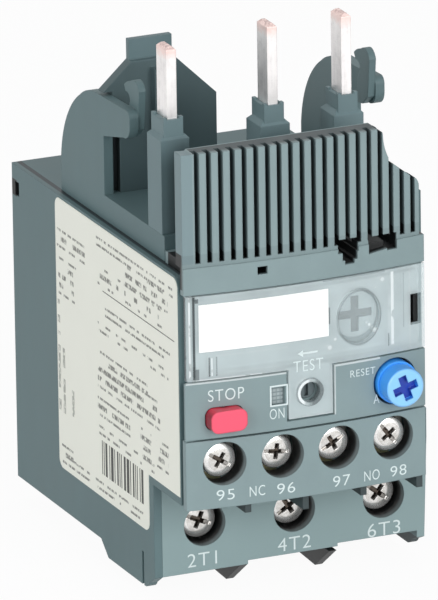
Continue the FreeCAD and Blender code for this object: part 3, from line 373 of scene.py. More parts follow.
def pinMarks(f, tone):
    x, y, z = f.xyz()
    streak = f.noise(0.7, 3.0, 0.6, f.at((1, 1, 0.06)))
    tone = f.mix(f.fade(streak, 0.42, 0.62) * 0.6, tone, pins["streak"])
    height = z + (x < pins["leftEdge"]) * (pins["top"] - pins["leftTop"])
    tone = f.mix(f.fade(height + f.noise(0.9) * 1.6, *pins["warm"]) * 0.65, tone, pins["copper"])
    burnt = f.fade(height, *pins["burnt"]) * f.fade(f.noise(0.6), 0.4, 0.55)
    return f.mix(burnt * 0.6, tone, pins["scorch"])


# painted highlights on the paler end faces, painted shade in the deep blue recess of the reset cap and on the dark
# left flank of the stop button
buttons = {"resetFaceHighlight": (-70.0, -70.2), "recessY": (-70.12, -69.2), "recess": 1.95,
           "stopFaceHighlight": (-68.1, -68.38), "stopFlankX": (-18.6, -19.2), "stopFlankY": (-68.3, -68.0)}


def resetLightAndShade(f, tone):
    x, y, z = f.xyz()
    tone = f.mix(f.fade(y, *buttons["resetFaceHighlight"]), tone, paint["resetFaceHighlight"])
    recess = f.within(y, *buttons["recessY"]) * discs(x, z, [panel["reset"]], buttons["recess"])
    return f.mix(recess, tone, paint["resetRecessShade"])


def stopLightAndShade(f, tone):
    x, y, z = f.xyz()
    flank = f.fade(x, *buttons["stopFlankX"]) * f.fade(y, *buttons["stopFlankY"])
    tone = f.mix(flank, tone, paint["stopShade"])
    return f.mix(f.fade(y, *buttons["stopFaceHighlight"]) * 0.8, tone, paint["stopFaceHighlight"])


# fine ruled lines on the flag's face, as shares of their pitch
flag = {"pitch": 0.62, "rows": (0.3, 0.62), "columns": (0.3, 0.5), "soft": 0.1}


def flagMarks(f, tone):
    x, y, z = f.xyz()
    rows = f.within((z * (1 / flag["pitch"])).math("FRACT"), *flag["rows"], flag["soft"])
    columns = f.within((x * (1 / flag["pitch"])).math("FRACT"), *flag["columns"], flag["soft"])
    return f.mix((rows | columns) * 0.7, tone, paint["flagLine"])


# tarnish settles in the driver recess of each head; the recess is also painted darker with depth, as painted shade
tarnish = {"main": 2.0, "aux": 1.85, "depth": (0.28, 0.7), "tone": (0.52, 0.49, 0.45, 1)}


def screwMarks(kind, front):
    def marks(f, tone):
        x, y, z = f.xyz()
        inside = discs(x, z, terminals[kind], tarnish[kind])
        grime = f.fade(f.noise(0.8, 3.0, 0.6), 0.42, 0.6)
        tone = f.mix(inside * (0.25 + grime * 0.4), tone, tarnish["tone"])
        return f.mix(inside * f.fade(y - front, *tarnish["depth"]), tone, paint["recess"])
    return marks


def screwNickel(kind, first):
    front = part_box("%s_screw_%s" % (kind, first))[0][1] / mm
    return brightMetal(kind + "ScrewNickel", (0.93, 0.92, 0.90, 1), 0.24, edge=0.14, scratch=0.3, tarnish=0.2,
                       marks=screwMarks(kind, front), metallic=0.8)


# painted shade in the cross recess, darker than the dial's face
dial = {"cross": (2.6, 8.4, 38.5, 44.3), "front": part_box("setting_dial")[0][1] / mm, "depth": (0.03, 0.12)}


def dialShade(f, tone):
    x, y, z = f.xyz()
    deep = f.fade(y, dial["front"] + dial["depth"][0], dial["front"] + dial["depth"][1])
    return f.mix(patch(f, x, z, dial["cross"]) * deep, tone, paint["dialCrossShade"])


finishes = {
    "housing": mouldedPlastic("housingPlastic", paint["housing"], 0.52, marks=housingMarks),
    # the cross wall's darker tone is painted shade
    "wall": mouldedPlastic("crossWallShadedPlastic", paint["wall"], marks=wallShade),
    "cap": mouldedPlastic("capPlastic", paint["front"], marks=capShade),
    "panel": mouldedPlastic("panelPlastic", paint["front"], marks=panelLightAndShade),
    "row": mouldedPlastic("rowPlastic", paint["front"], marks=auxHoleShade),
    "side": mouldedPlastic("sidePlastic", paint["housing"], 0.52, marks=sideMarks),
    "sleeve": mouldedPlastic("sleevePlastic", paint["sleeve"], marks=sleeveShadow),
    "flag": mouldedPlastic("flagGrey", paint["flag"], marks=flagMarks),
    "card": mouldedPlastic("markerCard", paint["card"], 0.6, grain=0.05, edge=0.0, blotch=0.012),
    "dial": mouldedPlastic("dialPlastic", paint["dial"], 0.35, grain=0.05, edge=0.12, blotch=0.04,
                           marks=dialShade),
    "stop": mouldedPlastic("stopRed", paint["stop"], 0.34, grain=0.06, edge=0.45, blotch=0.05, coat=0.3,
                           marks=stopLightAndShade),
    "reset": mouldedPlastic("resetBlue", paint["reset"], 0.34, grain=0.06, edge=0.3, blotch=0.05, coat=0.3,
                            marks=resetLightAndShade),
    "web": mouldedPlastic("webGrey", paint["web"]),
    "black": mouldedPlastic("barrierBlack", paint["black"]),
    "test": mouldedPlastic("testGrey", paint["test"], 0.4),
    "white": mouldedPlastic("leverWhite", paint["white"]),
    "mica": mouldedPlastic("glassSleeve", paint["mica"], 0.7, grain=0.4, edge=0.05, blotch=0.12),
    "print": mouldedPlastic("printWhite", paint["print"], grain=0.1, edge=0.0, blotch=0.03),
    "ink": mouldedPlastic("labelInk", paint["ink"], grain=0.1, edge=0.0, blotch=0.05),
    "mainNickel": screwNickel("main", "1"),
    "auxNickel": screwNickel("aux", "95"),
    "zinc": brightMetal("cageZinc", (0.62, 0.61, 0.57, 1), 0.38),
    "tin": brightMetal("pinTin", (0.86, 0.83, 0.82, 1), 0.36, edge=0.15, scratch=0.35, tarnish=0.16,
                       marks=pinMarks, metallic=0.7),
    "copper": brightMetal("barCopper", (0.78, 0.50, 0.36, 1), 0.34),
    "steel": brightMetal("springSteel", (0.55, 0.55, 0.56, 1), 0.3),
    "bimetal": brightMetal("bimetalStrip", (0.58, 0.54, 0.48, 1), 0.4),
    "brass": brightMetal("contactBrass", (0.80, 0.66, 0.40, 1), 0.3),
    "heater": brightMetal("heaterBand", (0.42, 0.39, 0.36, 1), 0.45)}

# blocks are y and z ranges with the density of their print; columns are read upwards
label = {
    "paper": srgb(244, 245, 234), "ink": srgb(70, 72, 68), "rowPitch": 1.5, "rowShift": 0.35, "rowHeight": 0.5,
    "blocks": [(-28.5, -17.6, 42.7, 45.7, 0.44), (-25.0, -18.0, 35.2, 41.2, 0.52),
               (-62.0, -33.0, 47.2, 48.7, 0.36), (-60.0, -44.0, 44.2, 47.2, 0.46),
               (-58.0, -33.0, 41.2, 44.2, 0.55), (-62.0, -36.0, 36.7, 38.2, 0.42),
               (-60.0, -33.0, 33.7, 35.2, 0.55), (-52.0, -33.0, 29.2, 30.7, 0.42),
               (-56.5, -32.8, 24.7, 29.2, 0.38), (-45.0, -32.6, 20.2, 23.2, 0.38),
               (-53.0, -49.0, 18.7, 23.2, 0.4), (-59.5, -55.0, 18.7, 23.2, 0.44),
               (-54.0, -33.0, 17.2, 18.7, 0.42), (-49.5, -31.0, 8.2, 9.7, 0.44),
               (-29.0, -18.2, 8.2, 9.7, 0.42), (-22.6, -18.2, 9.7, 11.2, 0.4)],
    "columnPitch": 1.7, "columnGap": 0.4,
    "columns": [(-18.7, -17.0, 16.0, 34.0), (-20.4, -18.9, 16.0, 26.5), (-23.8, -22.3, 16.5, 21.0)]}


def labelFilm():
    # cream film with rows of small illegible print
    f = Finish("labelFilm")
    x, y, z = f.xyz()
    cloud = f.noise(9.0, 3.0, 0.55)
    speck = f.noise(0.5, 2.0, 0.6)
    paper = f.ramp(cloud, [(0.3, shade(label["paper"], 0.975)), (0.7, label["paper"])])

    def words(along, across, pitch, shift):
        # short words in even rows; hands back the row mask and the noise that spaces the words
        row = (across + shift) * (1 / pitch)
        line = f.within(row.math("FRACT"), 0.22, 0.22 + label["rowHeight"], 0.07)
        spot = f.node("ShaderNodeCombineXYZ", {}, {0: along * 0.5, 1: row.math("FLOOR") * 7.3})
        gap = f.node("ShaderNodeTexNoise", {"noise_dimensions": "2D"},
                     {"Vector": spot, "Scale": 1.0, "Detail": 0.0})
        return line, gap

    letter = f.fade(f.noise(0.42, 1.0, 0.5, f.at((1, 1, 0.6))), 0.34, 0.50)
    line, gap = words(y, z, label["rowPitch"], label["rowShift"])
    ink = 0.0
    for y0, y1, z0, z1, thin in label["blocks"]:
        area = (y0, y1, z0 - label["rowShift"], z1 - label["rowShift"])
        ink = patch(f, y, z, area) * (gap > thin) | ink
    ink = ink * line * letter
    line, gap = words(z, y, label["columnPitch"], 0.0)
    for area in label["columns"]:
        ink = ink | patch(f, y, z, area) * (gap > label["columnGap"]) * line * letter * 0.7
    f.set(Base_Color=f.mix(ink * 0.85, paper, label["ink"]), Roughness=0.4 + speck * 0.08)
    f.set(Normal=f.relief(speck, 0.01, 0.05, 0.05), Specular_IOR_Level=0.4)
    return f.material


finishes["label"] = labelFilm()

# painted highlight streaks and painted dark lines are x and z ranges of the walls that the clear moulding shows on
# edge; the round spots are painted glints
cover = {
    "tint": srgb(226, 240, 242), "alpha": 0.46, "haze": 0.08, "clearer": 0.45, "edge": srgb(238, 245, 246),
    "line": srgb(48, 60, 63), "dial": (5.5, 41.4), "ringSize": (3.75, 4.45), "ring": (0.92, 0.98),
    "window": (0.96, 0.9), "bore": (-2.8, 30.9), "boreIn": 1.35, "boreOut": 2.15, "boreEdge": (2.08, 2.2),
    "streaks": [(10.9, 11.45, 36.0, 47.6, 0.9), (14.05, 14.3, 35.0, 47.6, 0.5), (-21.75, -21.4, 34.8, 47.9, 0.9),
                (-18.35, -18.1, 35.3, 38.2, 0.9), (-6.1, -5.95, 27.1, 34.6, 0.6), (0.75, 0.95, 27.1, 34.6, 0.6),
                (-6.1, 0.95, 27.05, 27.25, 0.7), (-17.6, -6.2, 38.3, 38.55, 0.5), (-22.0, -6.2, 34.7, 35.0, 0.75)],
    "lines": [(-21.15, -20.75, 35.0, 47.9, 1.0), (-22.6, -22.0, 34.8, 47.9, 1.0), (-18.75, -18.5, 35.3, 38.3, 0.9),
              (-17.6, -17.4, 35.3, 38.3, 0.6), (10.4, 10.6, 36.0, 38.0, 0.7), (0.4, 0.7, 41.0, 43.6, 0.8),
              (-21.0, -20.2, 46.9, 47.6, 0.9), (-21.0, -20.2, 34.9, 36.6, 0.8), (-22.4, -6.2, 34.5, 34.66, 0.6),
              (13.0, 13.2, 38.5, 47.0, 0.35), (-0.4, 10.0, 47.75, 47.9, 0.5)],
    "glints": [(0.6, 37.3, 0.45), (1.5, 38.5, 0.3), (8.2, 38.9, 0.45), (9.5, 46.6, 0.45), (4.6, 47.0, 0.3),
             (7.2, 39.9, 0.3), (8.3, 45.7, 0.3)]}


def clearPlastic():
    # thin clear polycarbonate, faintly milky, with painted highlights and painted dark lines where its walls are
    # seen on edge
    f = Finish("coverClear")
    x, y, z = f.xyz()
    cloud = f.noise(5.0, 2.0, 0.5)
    tone = f.ramp(cloud, [(0.3, shade(cover["tint"], 0.94)), (0.7, cover["tint"])])
    bright = 0.0
    for *area, strength in cover["streaks"]:
        bright = patch(f, x, z, area, 0.08, 0.1) * strength | bright
    for px, pz, r in cover["glints"]:
        dx = x - px
        dz = z - pz
        bright = bright | f.fade(dx * dx + dz * dz, (r * 1.3) ** 2, (r * 0.5) ** 2) * 0.75
    bright = bright * f.fade(f.noise(2.2), 0.3, 0.45)
    dark = 0.0
    for *area, strength in cover["lines"]:
        dark = patch(f, x, z, area, 0.06, 0.08) * strength | dark
    # painted dark ring where the bead round the dial is seen on edge
    u = (x - cover["dial"][0]) * (1 / cover["ringSize"][0])
    v = (z - cover["dial"][1]) * (1 / cover["ringSize"][1])
    spread = (u * u + v * v).math("SQRT")
    dark = dark | f.within(spread, *cover["ring"], 0.03) * 0.75
    # painted light on the bore's wall at its left and painted shade at its right
    u = x - cover["bore"][0]
    v = z - cover["bore"][1]
    reach = (u * u + v * v).math("SQRT")
    rim = f.within(reach, cover["boreIn"], cover["boreOut"])
    bright = bright | rim * f.fade(u * 0.85 - v * 0.2, 0.1, -0.7) * f.fade(reach, 2.15, 2.0)
    dark = dark * f.fade(reach, 2.0, 2.4) | rim * f.fade(u - v * 0.3, 0.1, 1.0) * 0.85
    dark = dark | f.within(reach, *cover["boreEdge"]) * 0.6
    tone = f.mix(dark, f.mix(bright, tone, cover["edge"]), cover["line"])
    f.set(Base_Color=tone, Roughness=0.12 + cloud * 0.08)
    film = cloud * cover["haze"] + cover["alpha"] - cover["haze"] / 2
    film = film * (f.fade(spread, *cover["window"]) * -cover["clearer"] + 1.0)    # clearer over the dial
    f.set(Alpha=film | bright * 0.9 | dark * 0.85)
    f.set(Normal=f.relief(cloud, 0.02, 0.1, 0.15), Specular_IOR_Level=0.6, Coat_Weight=0.4, Coat_Roughness=0.08)
    return f.material


finishes["cover"] = clearPlastic()

dressing = {
    "base_housing": "housing", "cross_wall": "wall", "side_cover": "side", "rating_label": "label",
    "ribbed_cap": "cap", "control_panel": "panel", "aux_terminal_housing": "row", "clear_cover": "cover",
    "marker_card": "card", "setting_dial": "dial", "setting_cam": "white", "stop_button": "stop",
    "stop_spring": "steel", "reset_plunger": "reset", "reset_button": "reset", "reset_spring": "steel",
    "test_button": "test", "terminal_bars": "copper", "fixed_contacts_nc": "brass", "fixed_contacts_no": "brass",
    "contact_bridge_nc": "brass", "contact_bridge_no": "brass", "plug_pins": "tin", "pin_sleeve": "sleeve",
    "pole_brackets": "zinc", "bimetal_strips": "bimetal", "mica_sleeves": "mica", "heater_windings": "heater",
    "pole_barriers": "black", "aux_barriers": "web", "trip_slider": "white", "differential_slider": "black",
    "trip_lever_pin": "steel", "trip_lever": "white", "contact_carrier": "white", "trip_flag": "flag",
    "main_screw": "mainNickel", "aux_screw": "auxNickel", "main_cage": "zinc", "aux_cage": "zinc"}

for name, obj in nodes.items():
    key = name if name in dressing else name.rsplit("_", 1)[0]
    obj.data.materials.clear()
    obj.data.materials.append(finishes[dressing[key]])
print("CAD nodes dressed")


def finishPiece(name, mesh, finish, body, instead=()):
    mesh.name = name
    obj = bpy.data.objects.new(name, mesh)
    bpy.context.scene.collection.objects.link(obj)
    mesh.materials.clear()
    mesh.materials.append(finishes[finish])
    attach(obj, body)
    if instead:
        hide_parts(*instead)
    return obj


def meshFrom(bm, smooth=0.0):
    bmesh.ops.remove_doubles(bm, verts=bm.verts, dist=0.000002)
    bmesh.ops.recalc_face_normals(bm, faces=bm.faces)
    mesh = bpy.data.meshes.new("piece")
    bm.to_mesh(mesh)
    bm.free()
    if smooth:
        mesh.shade_smooth()
        mesh.set_sharp_from_angle(angle=math.radians(smooth))
    return mesh


def spunMesh(profile, steps=48):
    # profile of (radius, depth) pairs turned about the Y axis
    bm = bmesh.new()
    chain = [bm.verts.new((r * mm, y * mm, 0)) for r, y in profile]
    edges = [bm.edges.new(pair) for pair in zip(chain, chain[1:])]
    bmesh.ops.spin(bm, geom=chain + edges, cent=(0, 0, 0), axis=(0, 1, 0), dvec=(0, 0, 0),
                   angle=2 * math.pi, steps=steps, use_merge=True, use_duplicate=False)
    return meshFrom(bm, 35)


def cutMesh(mesh, cutters):
    # the mesh with each cutter taken away
    holder = bpy.data.objects.new("work", mesh)
    bpy.context.scene.collection.objects.link(holder)
    tools = []
    for cutter in cutters:
        tool = bpy.data.objects.new("tool", cutter)
        bpy.context.scene.collection.objects.link(tool)
        change = holder.modifiers.new("cut", "BOOLEAN")
        change.operation = "DIFFERENCE"
        change.solver = "EXACT"
        change.object = tool
        tools.append(tool)
    bpy.context.view_layer.update()
    made = bpy.data.meshes.new_from_object(holder.evaluated_get(bpy.context.evaluated_depsgraph_get()))
    for obj in tools + [holder]:
        bpy.data.objects.remove(obj)
    return made


screws = {
    "main": {"radius": 2.9, "thick": 2.2, "shank": 2.0, "dome": 0.45, "crossLong": 1.9, "crossWide": 1.05,
             "crossDeep": 1.4, "crossTaper": 0.45, "slotLong": 2.3, "slotWide": 0.6, "slotDeep": 0.55,
             "slotTaper": 0.92, "rim": 0.12, "tip": 0.35, "turns": {"1": 24, "2": -32, "3": 38}},
    "aux": {"radius": 2.7, "thick": 1.8, "shank": 1.6, "dome": 0.4, "crossLong": 1.75, "crossWide": 0.95,
            "crossDeep": 1.1, "crossTaper": 0.45, "slotLong": 2.1, "slotWide": 0.55, "slotDeep": 0.5,
            "slotTaper": 0.92, "rim": 0.12, "tip": 0.35, "turns": {"95": 33, "96": 8, "97": -28, "98": 52}}}


def blade(long, wide, deep, taper):
    # cutting blade along X that narrows towards its deep end
    bm = bmesh.new()
    bmesh.ops.create_cube(bm, size=1)
    bmesh.ops.scale(bm, vec=(long * 2 * mm, deep * 2 * mm, wide * mm), verts=bm.verts)
    deepEnd = [v for v in bm.verts if v.co.y > 0]
    bmesh.ops.scale(bm, vec=(taper, 1, taper), verts=deepEnd)
    return meshFrom(bm)


def turned(mesh, degrees):
    mesh.transform(Matrix.Rotation(math.radians(degrees), 4, "Y"))
    return mesh


def screwMesh(size, length):
    r = size["radius"]
    d = size["dome"]
    shank = size["shank"]
    profile = [(0, 0.0), (r * 0.55, 0.05), (r * 0.82, d * 0.35), (r - size["rim"], d * 0.8), (r, d + 0.2),
               (r, size["thick"]), (shank, size["thick"]), (shank, length - size["tip"]),
               (shank - size["tip"], length), (0, length)]
    cross = [size[key] for key in ("crossLong", "crossWide", "crossDeep", "crossTaper")]
    slot = [size[key] for key in ("slotLong", "slotWide", "slotDeep", "slotTaper")]
    made = cutMesh(spunMesh(profile), [blade(*cross), turned(blade(*cross), 90), blade(*slot)])
    made.shade_smooth()
    made.set_sharp_from_angle(angle=math.radians(32))
    return made


def addScrews():
    for kind, size in screws.items():
        low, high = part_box("%s_screw_%s" % (kind, list(size["turns"])[0]))
        plain = screwMesh(size, (high[1] - low[1]) / mm - 0.01)
        for pole, degrees in size["turns"].items():
            node = "%s_screw_%s" % (kind, pole)
            low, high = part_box(node)
            mesh = turned(plain.copy(), degrees)
            mesh.transform(Matrix.Translation(((low[0] + high[0]) / 2, low[1], (low[2] + high[2]) / 2)))
            finishPiece("%sScrew_%s" % (kind, pole), mesh, kind + "Nickel", "%s_screw_body_%s" % (kind, pole),
                        (node,))


springs = {"wire": 0.2, "turns": 5.5, "steps": 20, "ends": 1.1,
           "places": {"stop_spring": 1.2, "reset_spring": 1.38}}


def addSprings():
    for node, radius in springs["places"].items():
        low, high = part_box(node)
        inset = springs["ends"] * springs["wire"] * mm
        length = high[1] - low[1] - 2 * inset
        bm = bmesh.new()
        ring = bmesh.ops.create_circle(bm, segments=8, radius=springs["wire"] * mm, cap_ends=False)["verts"]
        bmesh.ops.rotate(bm, verts=ring, cent=(0, 0, 0), matrix=Matrix.Rotation(math.pi / 2, 3, "X"))
        bmesh.ops.translate(bm, verts=ring, vec=(radius * mm, 0, 0))
        steps = int(springs["turns"] * springs["steps"])
        bmesh.ops.spin(bm, geom=bm.verts[:] + bm.edges[:], cent=(0, 0, 0), axis=(0, 0, 1),
                       dvec=(0, 0, length / steps), angle=2 * math.pi * springs["turns"], steps=steps,
                       use_merge=False, use_duplicate=False)
        bmesh.ops.holes_fill(bm, edges=bm.edges, sides=8)
        mesh = meshFrom(bm, 60)
        mesh.transform(Matrix.Rotation(-math.pi / 2, 4, "X"))
        mesh.transform(Matrix.Translation(((low[0] + high[0]) / 2, low[1] + inset, (low[2] + high[2]) / 2)))
        finishPiece(node.replace("_s", "S"), mesh, "steel", "housing", (node,))


addScrews()
addSprings()
print("screws and springs made")


# text, centre x and z, width and height of the printed word
lettering = {
    "size": 3, "space": 1.12, "weight": -0.02, "thick": 0.03, "sink": 0.01,
    "row": [("95", -16.4, 16.5, 2.8, 1.65), ("NC", -11.4, 16.5, 2.45, 1.6), ("96", -6.8, 16.3, 2.9, 1.65),
            ("97", 2.3, 16.1, 2.85, 1.7), ("NO", 7.4, 16.1, 2.6, 1.6), ("98", 11.95, 16.05, 2.75, 1.65)],
    "panel": [("STOP", -16.1, 32.25, 5.6, 1.8), ("ON", -8.1, 28.2, 2.35, 1.6), ("RESET", 6.05, 32.6, 4.2, 1.1),
              ("A", 8.3, 28.0, 1.0, 1.4)],
    "cover": [("TEST", -2.95, 35.1, 4.85, 1.75)],
    "poles": [("2T1", -14.7, 1.95, 4.8, 2.1), ("4T2", 0.45, 2.2, 5.45, 2.1), ("6T3", 15.3, 2.25, 5.4, 2.15)]}


def wordMesh(text, width, height):
    data = bpy.data.curves.new("word", "FONT")
    data.body = text
    data.size = lettering["size"] * mm
    data.space_character = lettering["space"]
    data.offset = lettering["weight"] * mm
    data.extrude = lettering["thick"] / 2 * mm
    holder = bpy.data.objects.new("word", data)
    bpy.context.scene.collection.objects.link(holder)
    bpy.context.view_layer.update()
    mesh = bpy.data.meshes.new_from_object(holder.evaluated_get(bpy.context.evaluated_depsgraph_get()))
    bpy.data.objects.remove(holder)
    xs = [v.co.x for v in mesh.vertices]
    ys = [v.co.y for v in mesh.vertices]
    mesh.transform(Matrix.Translation((-(min(xs) + max(xs)) / 2, -(min(ys) + max(ys)) / 2, 0)))
    wide = width * mm / (max(xs) - min(xs))
    high = height * mm / (max(ys) - min(ys))
    mesh.transform(Matrix.Diagonal((wide, high, 1, 1)))
    return mesh


def seat(mesh, x, z, surface):
    # stands a flat mesh up at x, z and lays it on the surface
    mesh.transform(Matrix.Rotation(math.pi / 2, 4, "X"))
    for v in mesh.vertices:
        v.co.x += x * mm
        v.co.z += z * mm
        v.co.y += (surface(v.co.x / mm) - lettering["thick"] / 2 + lettering["sink"]) * mm
    return mesh


surfaces = {"row": frontAt, "panel": frontAt, "cover": frontAt, "poles": lambda x: terminals["mainFace"]}

for part, surface in surfaces.items():
    for text, x, z, width, height in lettering[part]:
        mesh = seat(wordMesh(text, width, height), x, z, surface)
        finishPiece("mark_" + text, mesh, "print", "cover" if part == "cover" else "housing")


def frameMesh(width, height, line):
    # flat rectangular outline
    bm = bmesh.new()
    bmesh.ops.create_grid(bm, x_segments=6, y_segments=1, size=0.5)
    bmesh.ops.scale(bm, vec=(width * mm, height * mm, 1), verts=bm.verts)
    inner = bmesh.ops.inset_region(bm, faces=bm.faces[:], thickness=line * mm, use_boundary=True,
                                    use_even_offset=True)["faces"]
    middle = [face for face in bm.faces if face not in inner]
    bmesh.ops.delete(bm, geom=middle, context="FACES")
    bmesh.ops.solidify(bm, geom=bm.faces[:], thickness=lettering["thick"] * mm)
    return meshFrom(bm)


# shaft is a share of the length
testArrow = {"place": (-3.1, 37.05), "length": 3.2, "head": 0.6, "shaft": 0.8, "line": 0.3, "shift": 0.4}


def arrowMesh(size):
    # small arrow that points left
    tip = size["length"] / 2 - size["head"]
    bm = bmesh.new()
    bmesh.ops.create_circle(bm, cap_ends=True, segments=3, radius=size["head"] * mm)
    bmesh.ops.rotate(bm, verts=bm.verts, cent=(0, 0, 0), matrix=Matrix.Rotation(math.pi / 2, 3, "Z"))
    bmesh.ops.translate(bm, verts=bm.verts, vec=(-tip * mm, 0, 0))
    shaft = bmesh.ops.create_grid(bm, x_segments=4, y_segments=1, size=0.5)["verts"]
    bmesh.ops.scale(bm, vec=(size["length"] * size["shaft"] * mm, size["line"] * mm, 1), verts=shaft)
    bmesh.ops.translate(bm, vec=(size["shift"] * mm, 0, 0), verts=shaft)
    bmesh.ops.solidify(bm, geom=bm.faces[:], thickness=lettering["thick"] * mm)
    return meshFrom(bm)


windowFrame = {"place": (-7.75, 31.0), "size": (2.9, 3.3), "line": 0.24}
outline = frameMesh(*windowFrame["size"], windowFrame["line"])
finishPiece("windowFrame", seat(outline, *windowFrame["place"], frontAt), "print", "housing")
finishPiece("testArrow", seat(arrowMesh(testArrow), *testArrow["place"], frontAt), "print", "cover")
print("lettering done")


# rules as (y, z, length, width) and a row of bars of mixed width, on the left side
diagram = {
    "face": -22.6, "thick": 0.02, "sink": 0.008, "rules": [(-48.8, 40.2, 27.2, 0.16)],
    "bars": {"start": -33.9, "end": -49.2, "middle": 13.4, "height": 5.4, "gap": 0.36,
             "widths": (0.3, 0.3, 0.75, 0.3, 0.95, 0.3, 0.55, 0.3, 0.3, 0.75, 0.95, 0.3, 0.55, 0.3)}}


def ontoLabel(mesh, y, z):
    # flat mesh in XY stood on the left side, reading towards the front
    mesh.transform(Matrix.Rotation(math.pi / 2, 4, "X"))
    mesh.transform(Matrix.Rotation(-math.pi / 2, 4, "Z"))
    x = diagram["face"] - diagram["thick"] / 2 + diagram["sink"]
    mesh.transform(Matrix.Translation((x * mm, y * mm, z * mm)))
    return mesh


def strokeMesh(length, width):
    bm = bmesh.new()
    bmesh.ops.create_grid(bm, x_segments=1, y_segments=1, size=0.5)
    bmesh.ops.scale(bm, vec=(length * mm, width * mm, 1), verts=bm.verts)
    bmesh.ops.solidify(bm, geom=bm.faces[:], thickness=diagram["thick"] * mm)
    return meshFrom(bm)


def joinMeshes(meshes):
    bm = bmesh.new()
    for mesh in meshes:
        bm.from_mesh(mesh)
    made = bpy.data.meshes.new("joined")
    bm.to_mesh(made)
    bm.free()
    return made


def addDiagram():
    flat = []
    for y, z, length, width in diagram["rules"]:
        flat.append(ontoLabel(strokeMesh(length, width), y, z))
    bars = diagram["bars"]
    y = bars["start"]
    turn = 0
    while y > bars["end"]:
        width = bars["widths"][turn % len(bars["widths"])]
        flat.append(ontoLabel(strokeMesh(width, bars["height"]), y - width / 2, bars["middle"]))
        y -= width + bars["gap"] * (1 + turn % 3 // 2)    # every third gap is double
        turn += 1
    finishPiece("labelDiagram", joinMeshes(flat), "ink", "housing")


addDiagram()
print("label printed")


# angles in degrees; aim is measured in the view, across and up from the corner
view = {"turn": -23.37, "rise": 18.05, "roll": 0.84, "distance": 1849.85, "lens": 720.0, "sensor": 36,
        "clip": (0.1, 20), "aim": (30.99, 27.04), "corner": (-22.5, 0.0, 0.0)}


def addCamera():
    a = math.radians(view["turn"])
    e = math.radians(view["rise"])
    r = math.radians(view["roll"])
    ahead = Vector((math.sin(-a) * math.cos(e), math.cos(a) * math.cos(e), -math.sin(e)))
    flat = Vector((math.cos(a), math.sin(a), 0))
    upright = flat.cross(ahead)
    across = math.cos(r) * flat - math.sin(r) * upright
    up = math.sin(r) * flat + math.cos(r) * upright
    aim = Vector(view["corner"]) + view["aim"][0] * across + view["aim"][1] * up
    eye = (aim - ahead * view["distance"]) * mm
    data = bpy.data.cameras.new("camera")
    data.lens = view["lens"]
    data.sensor_width = view["sensor"]
    data.sensor_fit = "AUTO"
    data.clip_start, data.clip_end = view["clip"]
    camera = bpy.data.objects.new("camera", data)
    camera.matrix_world = Matrix((
        (across.x, up.x, -ahead.x, eye.x), (across.y, up.y, -ahead.y, eye.y),
        (across.z, up.z, -ahead.z, eye.z), (0, 0, 0, 1)))
    bpy.context.scene.collection.objects.link(camera)
    bpy.context.scene.camera = camera


# name, place, size, watts
lamps = [("keyLamp", (0.15, -1.35, 0.45), 0.8, 10.5), ("fillLamp", (-1.1, -0.6, 0.5), 0.8, 6.5),
         ("topLamp", (0.1, 0.2, 1.4), 0.7, 2.0)]


studio = {"target": (0, -0.03, 0.035), "sky": (0.96, 0.98, 1.0, 1), "skyStrength": 0.34,
          "floor": (0.90, 0.91, 0.92, 1), "floorGlow": 0.95, "floorSize": 4, "floorGap": 0.00002}


def addLamps():
    target = Vector(studio["target"])
    for name, spot, size, power in lamps:
        data = bpy.data.lights.new(name, "AREA")
        data.energy = power
        data.size = size
        lamp = bpy.data.objects.new(name, data)
        lamp.location = spot
        lamp.rotation_euler = (target - Vector(spot)).to_track_quat("-Z", "Y").to_euler()
        bpy.context.scene.collection.objects.link(lamp)


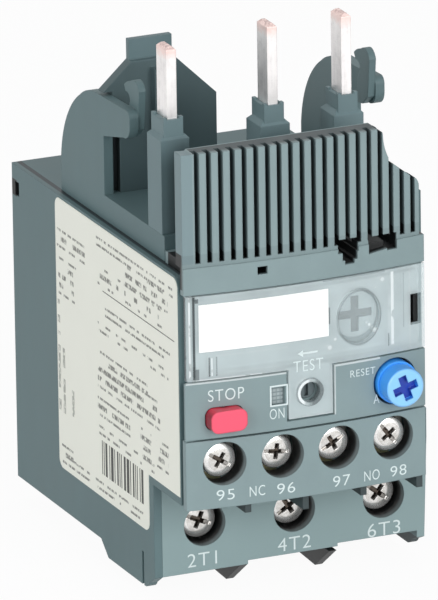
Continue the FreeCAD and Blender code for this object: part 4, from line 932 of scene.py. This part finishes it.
def addWorld():
    world = bpy.data.worlds.new("studio")
    bpy.context.scene.world = world
    world.use_nodes = True
    tree = world.node_tree
    tree.nodes.clear()
    out = tree.nodes.new("ShaderNodeOutputWorld")
    soft = tree.nodes.new("ShaderNodeBackground")
    soft.inputs["Color"].default_value = studio["sky"]
    soft.inputs["Strength"].default_value = studio["skyStrength"]
    white = tree.nodes.new("ShaderNodeBackground")
    white.inputs["Color"].default_value = (1, 1, 1, 1)
    rays = tree.nodes.new("ShaderNodeLightPath")
    seen = rays.outputs["Is Camera Ray"]
    for name in ("Is Glossy Ray", "Is Transmission Ray"):
        either = tree.nodes.new("ShaderNodeMath")
        either.operation = "MAXIMUM"
        tree.links.new(seen, either.inputs[0])
        tree.links.new(rays.outputs[name], either.inputs[1])
        seen = either.outputs[0]
    mix = tree.nodes.new("ShaderNodeMixShader")
    tree.links.new(seen, mix.inputs[0])
    tree.links.new(soft.outputs[0], mix.inputs[1])
    tree.links.new(white.outputs[0], mix.inputs[2])
    tree.links.new(mix.outputs[0], out.inputs["Surface"])


def stageWhite(name, colour, glow):
    f = Finish(name)
    f.tree.nodes.remove(f.shader)
    rays = f.tree.nodes.new("ShaderNodeLightPath")
    seen = Wire(f, rays.outputs["Is Camera Ray"]) | Wire(f, rays.outputs["Is Glossy Ray"])
    seen = seen | Wire(f, rays.outputs["Is Transmission Ray"])
    lit = f.node("ShaderNodeBsdfDiffuse", {}, {"Color": colour})
    white = f.node("ShaderNodeEmission", {}, {"Color": (1, 1, 1, 1), "Strength": 1.0})
    both = f.node("ShaderNodeMixShader", {}, {0: seen * glow, 1: lit, 2: white})
    f.tree.links.new(both.socket, f.out.inputs["Surface"])
    return f.material


def addFloor():
    bm = bmesh.new()
    bmesh.ops.create_grid(bm, x_segments=1, y_segments=1, size=studio["floorSize"])
    bmesh.ops.translate(bm, vec=Vector((0, 0, startBox[0][2] - studio["floorGap"])), verts=bm.verts)
    mesh = bpy.data.meshes.new("floor")
    bm.to_mesh(mesh)
    bm.free()
    obj = bpy.data.objects.new("floor", mesh)
    mesh.materials.append(stageWhite("floorWhite", studio["floor"], studio["floorGlow"]))
    bpy.context.scene.collection.objects.link(obj)


addCamera()
addLamps()
addWorld()
addFloor()
bpy.context.scene.view_settings.view_transform = "Standard"
print("studio ready")
